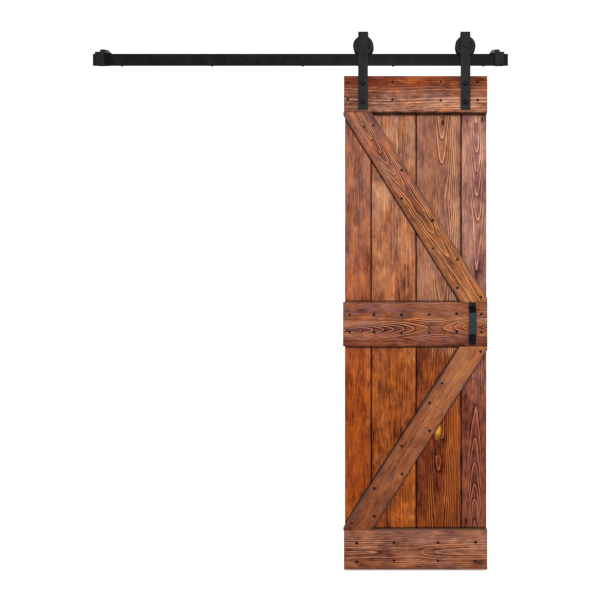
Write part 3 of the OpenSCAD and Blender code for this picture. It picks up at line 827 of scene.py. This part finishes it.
@dataclass(frozen=True)
class MouldedRubber:
    """Dull black rubber with a faint bloom."""

    name: str

    def make(self) -> bpy.types.Material:
        """Build the material.

        Returns:
            The material.
        """
        s = Sketch(self.name)
        place = s.place()
        bloom = s.speckle(place, 70.0, 4.0, 0.6)
        grit = s.speckle(place, 1400.0, 2.0)
        s.join(s.blend(bloom, (0.010, 0.010, 0.010), (0.030, 0.030, 0.031)), s.shader.inputs["Base Color"])
        s.join(s.maths("MULTIPLY_ADD", bloom, 0.16, 0.74), s.shader.inputs["Roughness"])
        s.relief(grit, 0.4, 0.00008)
        return s.material


@dataclass(frozen=True)
class StudioFloor:
    """A pale, even studio floor."""

    name: str

    def make(self) -> bpy.types.Material:
        """Build the material.

        Returns:
            The material.
        """
        s = Sketch(self.name)
        cloud = s.speckle(s.place(), 0.8, 3.0)
        s.join(s.blend(cloud, (0.90, 0.90, 0.90), (0.93, 0.93, 0.93)), s.shader.inputs["Base Color"])
        s.shader.inputs["Roughness"].default_value = 0.9
        return s.material


# ---------------------------------------------------------------------------
# Shared making
# ---------------------------------------------------------------------------


def clean_copy(node: str) -> bmesh.types.BMesh:
    """Copy a CAD node's mesh as a closed skin of flat faces.

    Args:
        node: The CAD node's name.

    Returns:
        The copy, with its doubles merged and its flat faces made whole.
    """
    skin = bmesh.new()
    skin.from_mesh(FRAME["nodes"][node].data)
    bmesh.ops.remove_doubles(skin, verts=skin.verts, dist=WELD)
    bmesh.ops.dissolve_degenerate(skin, edges=skin.edges, dist=WELD)
    bmesh.ops.dissolve_limit(
        skin, angle_limit=math.radians(1.0), verts=skin.verts, edges=skin.edges,
        use_dissolve_boundaries=False,
    )
    return skin


def finish_piece(
    name: str, mesh: bpy.types.Mesh, body: str, slot: str, material: bpy.types.Material, *nodes: str
) -> bpy.types.Object:
    """Put a finished mesh on its body and say which CAD nodes it stands for.

    Args:
        name: The piece's name.
        mesh: Its mesh, already in place.
        body: The body that it moves with.
        slot: The material slot of its finish; not used.
        material: Its material.
        *nodes: The CAD nodes that it replaces.

    Returns:
        The piece.
    """
    mesh.materials.clear()
    mesh.materials.append(material)
    piece = bpy.data.objects.new(name, mesh)
    bpy.context.scene.collection.objects.link(piece)
    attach(piece, body)
    if nodes:
        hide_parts(*nodes)
    LOG.info("%s: %d faces, on %s", name, len(mesh.polygons), body)
    return piece


def changed(name: str, start: bpy.types.Mesh, kind: str, settings: dict[str, Any]) -> bpy.types.Mesh:
    """Run one modifier on a mesh and keep its result as a plain mesh.

    Args:
        name: The result's name.
        start: The mesh it starts from, which is used up.
        kind: The modifier's kind.
        settings: Its options; a Geometry Nodes tree's inputs go by their identifiers.

    Returns:
        The plain mesh.
    """
    holder = bpy.data.objects.new(name + "_work", start)
    bpy.context.scene.collection.objects.link(holder)
    modifier = holder.modifiers.new("Change", kind)
    for key, value in settings.items():
        if hasattr(modifier, key):
            setattr(modifier, key, value)
        else:
            modifier[key] = value
    bpy.context.view_layer.update()
    result = bpy.data.meshes.new_from_object(
        holder.evaluated_get(bpy.context.evaluated_depsgraph_get()))
    holder.modifiers.clear()
    bpy.data.objects.remove(holder)
    bpy.data.meshes.remove(start)
    result.name = name
    return result


def eased(name: str, skin: bmesh.types.BMesh, width: float, segments: int = 2) -> bpy.types.Mesh:
    """Round the sharp corners of a skin.

    Args:
        name: The new mesh's name.
        skin: The skin, which is used up.
        width: The width of the rounding.
        segments: How many facets the rounding has.

    Returns:
        The finished mesh, smooth across its rounded corners.
    """
    mesh = bpy.data.meshes.new(name)
    skin.to_mesh(mesh)
    skin.free()
    result = changed(name, mesh, "BEVEL", {
        "width": width, "segments": segments, "limit_method": "ANGLE", "angle_limit": SHARP_CORNER})
    result.shade_smooth()
    result.set_sharp_from_angle(angle=CREASE)
    return result


def islands(node: str) -> list[tuple[Vector, Vector]]:
    """Find the box of each separate solid in a CAD node.

    Args:
        node: The CAD node's name.

    Returns:
        The lowest and highest corner of each solid.
    """
    skin = bmesh.new()
    skin.from_mesh(FRAME["nodes"][node].data)
    bmesh.ops.remove_doubles(skin, verts=skin.verts, dist=WELD)
    left = set(skin.verts)
    boxes = []
    while left:
        stack = [left.pop()]
        found = list(stack)
        while stack:
            for edge in stack.pop().link_edges:
                for vert in edge.verts:
                    if vert in left:
                        left.remove(vert)
                        stack.append(vert)
                        found.append(vert)
        low = Vector([min(v.co[i] for v in found) for i in range(3)])
        high = Vector([max(v.co[i] for v in found) for i in range(3)])
        boxes.append((low, high))
    skin.free()
    return sorted(boxes, key=lambda b: (round(b[0].x, 4), round(b[0].z, 4)))


# ---------------------------------------------------------------------------
# Boards
# ---------------------------------------------------------------------------


@dataclass
class Board:
    """One board of the leaf, sawn, eased and stained."""

    node: str
    finish: dict[str, Any]
    # how wide the painted shade beside this board is, on the boards under it
    shade_reach: float = 1.0
    ease: float = 0.9 * MM
    slice: float = 50.0 * MM
    wobble: float = 0.5 * MM
    rim: float = 12.0 * MM

    def build(self) -> tuple[bpy.types.Mesh, Footing]:
        """Make the board's mesh, with slightly uneven sawn edges.

        Returns:
            The mesh, and where the board lies.
        """
        low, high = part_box(self.node)
        skin = clean_copy(self.node)
        longest = max(skin.edges, key=lambda e: e.calc_length())
        along = (longest.verts[1].co - longest.verts[0].co).normalized()
        if along.z < -0.001 or (abs(along.z) <= 0.001 and along.x < 0):
            along = -along
        across = along.cross(ROOM).normalized()
        turn = Matrix((across, along, ROOM)).transposed()
        face = [v.co for v in skin.verts if v.co.y < low.y + 3.0 * MM]
        sides = [p.dot(across) for p in face]
        runs = [p.dot(along) for p in face]
        middle = (min(sides) + max(sides)) / 2, (min(runs) + max(runs)) / 2
        centre = across * middle[0] + along * middle[1] + Vector((0.0, (low.y + high.y) / 2, 0.0))
        half = (max(sides) - min(sides)) / 2, (max(runs) - min(runs)) / 2, (high.y - low.y) / 2
        steps = int(2 * half[1] / self.slice)
        for i in range(1, steps):
            at = centre + along * (i * 2 * half[1] / steps - half[1])
            bmesh.ops.bisect_plane(
                skin, geom=list(skin.verts) + list(skin.edges) + list(skin.faces),
                plane_co=at, plane_no=along, dist=WELD,
            )
        for vert in skin.verts:
            offset = vert.co - centre
            side = offset.dot(across)
            if -0.1 * MM < half[0] - abs(side) < self.rim:
                row = 2.0 if side > 0 else 7.0
                drift = noise.noise(Vector((offset.dot(along) * 9.0, len(self.node), row)))
                vert.co += across * (drift - 1.0) * self.wobble * math.copysign(1.0, side)
        mesh = eased(self.node + "_board", skin, self.ease)
        return mesh, Footing(centre, turn.to_euler("XYZ"), half, self.shade_reach)

    def dress(self, mesh: bpy.types.Mesh, lie: Footing, over: tuple[Footing, ...]) -> None:
        """Stain the board and hang it on the door.

        Args:
            mesh: The board's mesh.
            lie: Where it lies.
            over: Where the boards nailed over it lie.
        """
        screws = self.node + "_screws"
        holes = tuple(heads(screws)) if screws in FRAME["nodes"] else ()
        material = StainedPine(self.node + "_pine", lie, over=over, holes=holes, **self.finish).make()
        finish_piece(self.node + "_board", mesh, "door", "stained_pine", material, self.node)


@dataclass
class Leaf:
    """The boarded leaf: four planks, three battens and two braces."""

    planks: tuple[Board, ...] = (
        Board("plank_1", dict(
            upper=Stain.SMOKED_RUSSET, lower=Stain.DEEP_AMBER, turn_at=0.15, turn_over=0.8,
            grain=Grain(((0.0, -0.20), (1.0, -0.22)), ((0.0, 0.04), (1.0, 0.05)), ring=0.009, bold=0.5),
            lines=0.12, streaks=0.35, smudge=(0.08, 0.65), swing=(1.30, 1.05), glow=0.5,
            seams=(False, True), seed=1.0)),
        Board("plank_2", dict(
            upper=Stain.TAN, lower=Stain.HONEY, turn_at=0.25, turn_over=0.9,
            grain=Grain(((0.0, 0.03), (0.5, 0.02), (1.0, 0.03)), ((0.0, 0.02), (0.5, 0.034), (1.0, 0.02)),
                        ring=0.0048, width=0.0020, bold=0.30, zone=(0.034, 0.034)),
            lines=0.38, streaks=0.40, smudge=(0.12, 0.50), swing=(1.45, 1.10), glow=0.5,
            seams=(True, True), seed=2.0)),
        Board("plank_3", dict(
            upper=Stain.ROSE, lower=Stain.CHESTNUT, turn_at=-0.08, turn_over=0.12, fleck=Stain.COPPER,
            grain=Grain(
                ((0.0, 0.0), (0.27, 0.002), (0.5, 0.014), (0.75, 0.016), (1.0, 0.016)),
                ((0.0, 0.050), (0.1, 0.044), (0.2, 0.034), (0.3, 0.026), (0.4, 0.034), (0.5, 0.050),
                 (0.56, 0.046), (0.64, 0.034), (0.69, 0.034), (0.743, 0.050), (0.80, 0.038),
                 (0.9, 0.024), (1.0, 0.014)),
                ring=0.0062, width=0.0025, bold=0.20, zone=(0.13, 0.062), left=2.2),
            lines=0.56, level=0.46, streaks=0.30,
            spots=(Spot(0.018, 0.873, 0.012, 0.0, 0.7), Spot(0.004, -0.540, 0.014, 0.018, 0.4),
                   Spot(-0.003, -0.465, 0.024, 0.0, 0.0, 1.6)),
            smudge=(0.05, 0.40), swing=(1.40, 0.88), glow=0.25, seams=(True, True), seed=3.0)),
        Board("plank_4", dict(
            upper=Stain.DUSKY_ROSE, lower=Stain.MAROON, turn_at=-0.05, turn_over=0.5, mottle=0.7,
            grain=Grain(
                ((0.0, 0.004), (0.25, 0.006), (0.5, 0.012), (1.0, 0.012)),
                ((0.0, 0.012), (0.13, 0.025), (0.168, 0.031), (0.229, 0.038), (0.304, 0.045), (0.45, 0.050),
                 (0.587, 0.047), (0.713, 0.041), (0.806, 0.031), (0.86, 0.026), (1.0, 0.014)),
                ring=0.0048, width=0.0023, bold=0.20, zone=(0.032, 0.03)),
            lines=0.52, level=0.47, streaks=0.30, spots=(Spot(0.034, 0.885, 0.010, 0.018, 0.4),),
            smudge=(0.50, 0.45), swing=(1.60, 0.88), glow=0.25, seams=(True, False), seed=4.0)),
    )
    battens: tuple[Board, ...] = (
        Board("top_batten", dict(
            upper=Stain.BURNT_ORANGE, lower=Stain.ASH_ROSE, turn_at=0.014, turn_over=0.06, turn_across=True,
            fleck=Stain.COPPER, mottle=0.2,
            grain=Grain(
                ((0.0, -0.006), (0.3, 0.010), (0.6, -0.006), (1.0, 0.006)),
                ((0.0, 0.030), (1.0, 0.034)),
                ring=0.0085, width=0.0022, bold=0.42, zone=(0.07, 0.07)),
            lines=0.30, streaks=0.26, smudge=(0.70, 0.08), swing=(1.45, 1.35), glow=0.5,
            seed=5.0), shade_reach=1.6),
        Board("mid_batten", dict(
            upper=Stain.BRICK, lower=Stain.UMBER, turn_at=-0.045, turn_over=0.12, turn_across=True,
            mottle=0.6,
            grain=Grain(
                ((0.0, 0.027), (0.3, 0.023), (0.65, 0.012), (1.0, 0.014)),
                ((0.0, 0.010), (0.2, 0.020), (0.4, 0.033), (0.55, 0.043), (0.65, 0.046), (0.75, 0.042),
                 (0.88, 0.030), (1.0, 0.016)),
                ring=0.0046, width=0.0022, bold=0.12, zone=(0.050, 0.050)),
            lines=0.62, level=0.41, streaks=0.25, smudge=(0.50, 0.50), swing=(1.25, 1.25), glow=0.45,
            seed=6.0), shade_reach=1.3),
        Board("bottom_batten", dict(
            upper=Stain.FADED_BRICK, lower=Stain.BRICK, turn_at=0.0, turn_over=0.08, turn_across=True,
            mottle=0.6,
            grain=Grain(
                ((0.0, 0.010), (0.5, 0.008), (1.0, 0.006)),
                ((0.0, 0.030), (0.45, 0.033), (0.5, 0.034), (0.56, 0.030), (0.64, 0.024), (0.8, 0.021),
                 (1.0, 0.020)),
                ring=0.0070, width=0.0022, bold=0.34, zone=(0.06, 0.06)),
            lines=0.42, level=0.47, streaks=0.35, spots=(Spot(0.055, 0.272, 0.030, 0.0, 0.55),),
            smudge=(0.45, 0.55), swing=(1.30, 1.15), glow=0.3, seed=7.0), shade_reach=1.2),
        Board("upper_brace", dict(
            upper=Stain.WEATHERED, lower=Stain.COPPER, turn_at=0.1, turn_over=0.5, mottle=0.6,
            grain=Grain(
                ((0.0, 0.004), (0.4, 0.004), (0.5, 0.003), (0.8, -0.005), (1.0, -0.006)),
                ((0.0, 0.052), (0.25, 0.050), (0.358, 0.046), (0.40, 0.041), (0.44, 0.044), (0.48, 0.039),
                 (0.53, 0.044), (0.59, 0.040), (0.665, 0.035), (0.724, 0.030), (0.797, 0.024),
                 (0.89, 0.018), (1.0, 0.010)),
                ring=0.0047, width=0.0022, bold=0.18, zone=(0.05, 0.036)),
            lines=0.58, level=0.46, streaks=0.25, smudge=(0.20, 0.70), swing=(1.00, 1.30), edge_smudge=0.6,
            glow=0.5, seed=8.0), shade_reach=0.55),
        Board("lower_brace", dict(
            upper=Stain.CLAY, lower=Stain.UMBER, turn_at=-0.15, turn_over=0.8, fleck=Stain.COPPER,
            grain=Grain(((0.0, -0.06), (1.0, -0.05)), ((0.0, 0.03), (0.5, 0.04), (1.0, 0.03)),
                        ring=0.0062, width=0.0022, bold=0.42, zone=(0.09, 0.09)),
            lines=0.22, streaks=0.30, smudge=(0.55, 0.50), swing=(1.10, 0.80), edge_smudge=0.9,
            glow=0.35, seed=9.0)),
    )

    def dress(self) -> None:
        """Build and stain every board, the planks last, because they lie under all the others."""
        lies = []
        for board in self.battens:
            mesh, lie = board.build()
            board.dress(mesh, lie, ())
            lies.append(lie)
        for board in self.planks:
            mesh, lie = board.build()
            board.dress(mesh, lie, tuple(lies))


# ---------------------------------------------------------------------------
# Fixings and bearing balls, set out by Geometry Nodes
# ---------------------------------------------------------------------------


class Drive(Enum):
    """The recess in a fixing's head."""

    SQUARE = 4
    HEX = 6


@dataclass(frozen=True)
class TurnedHead:
    """A fixing turned about its axis, with a drive recess pressed into its head."""

    profile: tuple[tuple[float, float], ...]
    drive: Drive
    drive_radius: float
    drive_depth: float
    sides: int = 24

    def make(self, name: str) -> bpy.types.Mesh:
        """Build the fixing with its head's top at the origin, its axis along Y and its tip at +Y.

        Args:
            name: The mesh's name.

        Returns:
            The mesh.
        """
        skin = bmesh.new()
        painted = skin.verts.layers.float.new(SHADED_RIM_MARK)
        widest = max(radius for radius, _ in self.profile)
        part = 2 * math.pi / self.drive.value
        angles = [2 * math.pi * i / self.sides for i in range(self.sides)]

        def ring(reaches: list[float], depth: float) -> list[bmesh.types.BMVert]:
            """Put one ring of points round the axis."""
            spots = [(r * math.cos(a), depth, r * math.sin(a)) for r, a in zip(reaches, angles)]
            return [skin.verts.new(spot) for spot in spots]

        recess = [self.drive_radius * math.cos(part / 2) / math.cos(a % part - part / 2) for a in angles]
        rings = [ring(recess, self.drive_depth), ring(recess, 0.0)]
        for radius, depth in self.profile:
            rings.append(ring([radius] * self.sides, depth))
            # mark the head's outer ring, where a coat may paint shade
            for vert in rings[-1]:
                vert[painted] = float(radius > 0.6 * widest)
        skin.faces.new(rings[0])
        for first, second in zip(rings, rings[1:]):
            for i in range(self.sides):
                j = (i + 1) % self.sides
                skin.faces.new((first[i], first[j], second[j], second[i]))
        skin.faces.new(list(reversed(rings[-1])))
        bmesh.ops.recalc_face_normals(skin, faces=skin.faces)
        mesh = bpy.data.meshes.new(name)
        skin.to_mesh(mesh)
        skin.free()
        mesh.shade_smooth()
        mesh.set_sharp_from_angle(angle=CREASE)
        return mesh


class Rule:
    """A Geometry Nodes tree with named inputs, whose result is one plain mesh in one finish."""

    def __init__(self, name: str, inputs: dict[str, str]) -> None:
        """Start the tree.

        Args:
            name: The tree's name.
            inputs: The kind of each input between the geometry and the finish, by name.
        """
        self.tree = bpy.data.node_groups.new(name, "GeometryNodeTree")
        face = self.tree.interface
        for label, kind in {"Geometry": "Geometry", **inputs, "Finish": "Material"}.items():
            face.new_socket(label, in_out="INPUT", socket_type="NodeSocket" + kind)
        face.new_socket("Geometry", in_out="OUTPUT", socket_type="NodeSocketGeometry")
        self.start = self.tree.nodes.new("NodeGroupInput").outputs

    def add(self, kind: str, feeds: dict[str | int, Any]) -> bpy.types.Node:
        """Add a node.

        Args:
            kind: The node's class name.
            feeds: The socket or value that each of its inputs takes.

        Returns:
            The node.
        """
        node = self.tree.nodes.new(kind)
        for label, value in feeds.items():
            if isinstance(value, Socket):
                self.tree.links.new(value, node.inputs[label])
            else:
                node.inputs[label].default_value = value
        return node

    def end(self, instances: Socket) -> None:
        """Make the instances real and give them their finish."""
        real = self.add("GeometryNodeRealizeInstances", {0: instances})
        feeds = {"Geometry": real.outputs[0], "Material": self.start["Finish"]}
        self.add("NodeGroupOutput", {0: self.add("GeometryNodeSetMaterial", feeds).outputs[0]})

    def run(self, name: str, start: bpy.types.Mesh, values: dict[str, Any]) -> bpy.types.Mesh:
        """Run the tree.

        Args:
            name: The result's name.
            start: The mesh it starts from, which is used up.
            values: The inputs, by name.

        Returns:
            The plain mesh.
        """
        sockets = {s.name: s.identifier for s in self.tree.interface.items_tree if s.in_out == "INPUT"}
        inputs = {sockets[label]: value for label, value in values.items()}
        return changed(name, start, "NODES", {"node_group": self.tree, **inputs})


class FixingRule(Rule):
    """Sets one fixing on every point, each turned by chance."""

    def __init__(self) -> None:
        """Build the tree."""
        super().__init__("Fixings", {"Fixing": "Object", "Turn Seed": "Int"})
        model = self.add("GeometryNodeObjectInfo", {"Object": self.start["Fixing"]})
        turn = self.add("FunctionNodeRandomValue", {"Seed": self.start["Turn Seed"], 3: 2 * math.pi})
        spin = self.add("ShaderNodeCombineXYZ", {"Y": turn.outputs[1]})
        points = self.add("GeometryNodeMeshToPoints", {0: self.start["Geometry"]})
        self.end(self.add("GeometryNodeInstanceOnPoints", {
            "Points": points.outputs[0], "Instance": model.outputs["Geometry"], "Rotation": spin.outputs[0],
        }).outputs[0])

    def set_out(
        self, name: str, node: str, fixing: bpy.types.Mesh, material: bpy.types.Material, seed: int
    ) -> bpy.types.Mesh:
        """Set a fixing on each of a CAD node's heads.

        Args:
            name: The result's name.
            node: The CAD node that holds the fixings.
            fixing: The fixing's mesh, which is used up.
            material: Its finish.
            seed: The seed of the random turn.

        Returns:
            The plain mesh of all of them.
        """
        cloud = bpy.data.meshes.new(name + "_points")
        cloud.from_pydata([tuple(p) for p in heads(node)], [], [])
        model = bpy.data.objects.new(name + "_model", fixing)
        bpy.context.scene.collection.objects.link(model)
        result = self.run(name, cloud, {"Fixing": model, "Finish": material, "Turn Seed": seed})
        bpy.data.objects.remove(model)
        bpy.data.meshes.remove(fixing)
        return result


class RaceRule(Rule):
    """Sets balls in a ring about an axle."""

    def __init__(self) -> None:
        """Build the tree."""
        super().__init__("Ball Race", {
            "Balls": "Int", "Ball Radius": "Float", "Race Radius": "Float", "Centre": "Vector"})
        circle = self.add("GeometryNodeCurvePrimitiveCircle", {
            "Resolution": self.start["Balls"], "Radius": self.start["Race Radius"]})
        stand = self.add("GeometryNodeTransform", {
            "Geometry": circle.outputs[0], "Translation": self.start["Centre"],
            "Rotation": (math.pi / 2, 0.0, 0.0)})
        ball = self.add("GeometryNodeMeshUVSphere", {
            "Segments": 20, "Rings": 12, "Radius": self.start["Ball Radius"]})
        smooth = self.add("GeometryNodeSetShadeSmooth", {0: ball.outputs[0]})
        self.end(self.add("GeometryNodeInstanceOnPoints", {
            "Points": stand.outputs[0], "Instance": smooth.outputs[0]}).outputs[0])

    def set_out(self, name: str, node: str, material: bpy.types.Material) -> bpy.types.Mesh:
        """Set out the balls of one race in the room that its CAD node takes.

        Args:
            name: The result's name.
            node: The CAD node that holds the balls.
            material: Their finish.

        Returns:
            The plain mesh of all of them.
        """
        low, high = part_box(node)
        radius = (high.y - low.y) / 2
        return self.run(name, bpy.data.meshes.new(name + "_start"), {
            "Balls": len(islands(node)), "Ball Radius": radius,
            "Race Radius": (high.x - low.x) / 2 - radius, "Centre": tuple((low + high) / 2),
            "Finish": material})


def heads(node: str) -> list[Vector]:
    """Find the middle of each fixing's head, on its room side.

    Args:
        node: The CAD node that holds the fixings.

    Returns:
        The points.
    """
    return [Vector(((lo.x + hi.x) / 2, lo.y, (lo.z + hi.z) / 2)) for lo, hi in islands(node)]


@dataclass
class Fixings:
    """Every screw and bolt that shows, set out by one rule."""

    coat: bpy.types.Material
    bolt_coat: bpy.types.Material
    screw_groups: tuple[str, ...] = (
        "top_batten_screws", "mid_batten_screws", "bottom_batten_screws",
        "upper_brace_screws", "lower_brace_screws",
    )
    screw: TurnedHead = TurnedHead(
        ((3.6 * MM, 0.0), (4.1 * MM, 0.15 * MM), (4.3 * MM, 0.5 * MM), (2.2 * MM, 3.0 * MM),
         (2.2 * MM, 25.0 * MM), (0.5 * MM, 31.0 * MM)),
        Drive.SQUARE, 2.1 * MM, 1.5 * MM)
    handle_screw: TurnedHead = TurnedHead(
        ((3.2 * MM, 0.0), (3.65 * MM, 0.15 * MM), (3.8 * MM, 0.4 * MM), (2.0 * MM, 3.0 * MM),
         (2.0 * MM, 16.0 * MM), (0.5 * MM, 22.0 * MM)),
        Drive.SQUARE, 1.9 * MM, 1.4 * MM)
    bolt: TurnedHead = TurnedHead(
        ((5.2 * MM, 0.0), (6.6 * MM, 0.35 * MM), (7.6 * MM, 1.2 * MM), (8.0 * MM, 2.4 * MM),
         (8.0 * MM, 4.3 * MM), (7.8 * MM, 4.5 * MM), (4.0 * MM, 4.5 * MM), (4.0 * MM, 54.3 * MM)),
        Drive.HEX, 2.9 * MM, 2.2 * MM, 36)

    def dress(self) -> None:
        """Set out every group of fixings."""
        rule = FixingRule()
        jobs = [(name, self.screw, self.coat) for name in self.screw_groups]
        jobs += [
            ("handle_screws", self.handle_screw, self.coat),
            ("left_strap_bolts", self.bolt, self.bolt_coat),
            ("right_strap_bolts", self.bolt, self.bolt_coat),
        ]
        for seed, (node, head, coat) in enumerate(jobs, 11):
            mesh = rule.set_out(node + "_set", node, head.make(node + "_head"), coat, seed)
            finish_piece(node + "_set", mesh, "door", "black_fixings", coat, node)


# ---------------------------------------------------------------------------
# Hardware
# ---------------------------------------------------------------------------


@dataclass
class Hardware:
    """The track, hangers, wheels, stops and pull, each with its corners eased and coated."""

    coat: bpy.types.Material
    track_coat: bpy.types.Material
    pull_coat: bpy.types.Material
    fixing_coat: bpy.types.Material
    rubber: bpy.types.Material
    steel: bpy.types.Material

    def piece(self, node: str, body: str, slot: str, material: bpy.types.Material, width: float) -> None:
        """Ease one CAD node's corners and coat it.

        Args:
            node: The CAD node.
            body: The body it moves with.
            slot: Its material slot.
            material: Its finish.
            width: How wide its corners are rounded.
        """
        mesh = eased(node + "_eased", clean_copy(node), width, 3)
        finish_piece(node + "_eased", mesh, body, slot, material, node)

    def dress(self) -> None:
        """Build every piece of hardware."""
        race = RaceRule()
        self.piece("track", "track", "black_powder_coat", self.track_coat, 0.6 * MM)
        self.piece("stand_offs", "track", "black_powder_coat", self.coat, 0.5 * MM)
        self.piece("pull_handle", "door", "handle_black", self.pull_coat, 0.7 * MM)
        for side in ("left", "right"):
            wheel = f"{side}_wheel"
            self.piece(f"{side}_hanger_strap", "door", "black_powder_coat", self.coat, 0.8 * MM)
            self.piece(f"{side}_stop_body", "track", "black_powder_coat", self.coat, 0.8 * MM)
            self.piece(f"{side}_stop_buffer", "track", "black_rubber", self.rubber, 0.8 * MM)
            self.piece(f"{side}_stop_screws", "track", "black_fixings", self.fixing_coat, 0.3 * MM)
            self.piece(f"{side}_axle_bolt", "door", "black_fixings", self.coat, 0.3 * MM)
            for part in ("face_washers", "back_washers", "strap_nuts", "axle_nut"):
                self.piece(f"{side}_{part}", "door", "black_fixings", self.fixing_coat, 0.3 * MM)
            for part in ("axle_sleeves", "bearing_inner"):
                self.piece(f"{side}_{part}", "door", "bright_steel", self.steel, 0.3 * MM)
            for part in ("bearing_outer", "bearing_shields"):
                self.piece(f"{side}_{part}", wheel, "bright_steel", self.steel, 0.1 * MM)
            balls = f"{side}_bearing_balls"
            mesh = race.set_out(f"{side}_balls", balls, self.steel)
            finish_piece(f"{side}_balls", mesh, wheel, "bright_steel", self.steel, balls)
            low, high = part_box(wheel)
            hub = ((low.x + high.x) / 2, (low.z + high.z) / 2, (high.x - low.x) / 2)
            coat = CoatedSteel(wheel + "_coat", seen(8, 8, 8), seen(56, 56, 56), hub=hub).make()
            self.piece(wheel, wheel, "black_powder_coat", coat, 0.5 * MM)


# ---------------------------------------------------------------------------
# The set
# ---------------------------------------------------------------------------


@dataclass
class Studio:
    """A pale floor, a soft light in an even white room, and a camera at waist height before the leaf."""

    lens: float = 27.78
    eye: tuple[float, float, float] = (0.5014, -2.05, -1.1392)
    shift: tuple[float, float] = (-0.1933, 0.0367)
    key_place: tuple[float, float, float] = (0.8, -4.2, 0.6)
    key_aim: tuple[float, float, float] = (0.4, 0.0, -1.1)
    key_size: float = 1.2
    key_power: float = 222.0
    room_light: float = 1.15
    floor_gap: float = 5.0 * MM
    floor_size: float = 60.0

    def floor(self) -> None:
        """Lay the floor just below the leaf."""
        low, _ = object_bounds()
        half = self.floor_size / 2
        z = low[2] - self.floor_gap
        corners = [(x * half, y * half, z) for x, y in ((-1, -1), (1, -1), (1, 1), (-1, 1))]
        mesh = bpy.data.meshes.new("floor")
        mesh.from_pydata(corners, [], [(0, 1, 2, 3)])
        mesh.materials.append(StudioFloor("studio_floor").make())
        floor = bpy.data.objects.new("floor", mesh)
        bpy.context.scene.collection.objects.link(floor)
        floor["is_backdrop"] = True

    def lights(self) -> None:
        """Hang the key light and fill the room with even white."""
        lamp = bpy.data.lights.new("key", "AREA")
        lamp.shape = "SQUARE"
        lamp.size = self.key_size
        lamp.energy = self.key_power
        holder = bpy.data.objects.new("key", lamp)
        holder.location = self.key_place
        aim = Vector(self.key_aim) - Vector(self.key_place)
        holder.rotation_euler = aim.to_track_quat("-Z", "Y").to_euler()
        bpy.context.scene.collection.objects.link(holder)
        world = bpy.data.worlds.new("studio_white")
        world.use_nodes = True
        background = world.node_tree.nodes["Background"].inputs
        background["Color"].default_value = (1.0, 1.0, 1.0, 1.0)
        background["Strength"].default_value = self.room_light
        bpy.context.scene.world = world
        bpy.context.scene.view_settings.view_transform = "Standard"

    def camera(self) -> None:
        """Stand the camera in front of the leaf."""
        data = bpy.data.cameras.new("camera")
        data.lens = self.lens
        data.sensor_width = 36.0
        data.shift_x, data.shift_y = self.shift
        data.clip_end = 100.0
        holder = bpy.data.objects.new("camera", data)
        holder.location = self.eye
        holder.rotation_euler = (math.pi / 2, 0.0, 0.0)
        bpy.context.scene.collection.objects.link(holder)
        bpy.context.scene.camera = holder

    def build(self) -> None:
        """Set up the floor, the lights and the camera."""
        self.floor()
        self.lights()
        self.camera()


def main() -> None:
    """Build the door piece by piece, then its set."""
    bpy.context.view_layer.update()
    coat = CoatedSteel("powder_coat", seen(30, 30, 31), seen(44, 44, 45)).make()
    # the track takes a darker copy of the powder coat, standing in for the shade it sits in
    track_coat = CoatedSteel("track_coat", seen(14, 14, 14), seen(30, 30, 30)).make()
    # the pull's coat: its grip's room side painted pale as if lit, its legs near black as if in shade
    pull_coat = CoatedSteel("pull_coat", seen(2, 5, 9), seen(50, 60, 68), 0.42, lit_front_depth=-0.0845).make()
    fixing_coat = CoatedSteel("fixing_coat", seen(8, 8, 8), seen(18, 17, 16), 0.6, 1300.0, 0.00004).make()
    # strap bolt heads: painted shade on their outer ring, painted light on their tops
    bolt_coat = CoatedSteel("bolt_coat", seen(6, 6, 6), seen(52, 52, 52), 0.6, shaded_rim=True).make()
    rubber = MouldedRubber("buffer_rubber").make()
    steel = BrightSteel("bearing_steel").make()
    Leaf().dress()
    Fixings(fixing_coat, bolt_coat).dress()
    Hardware(coat, track_coat, pull_coat, fixing_coat, rubber, steel).dress()
    Studio().build()


if __name__ == "__main__":
    logging.basicConfig(level=logging.INFO, format="%(name)s: %(message)s")
    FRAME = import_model()
    main()
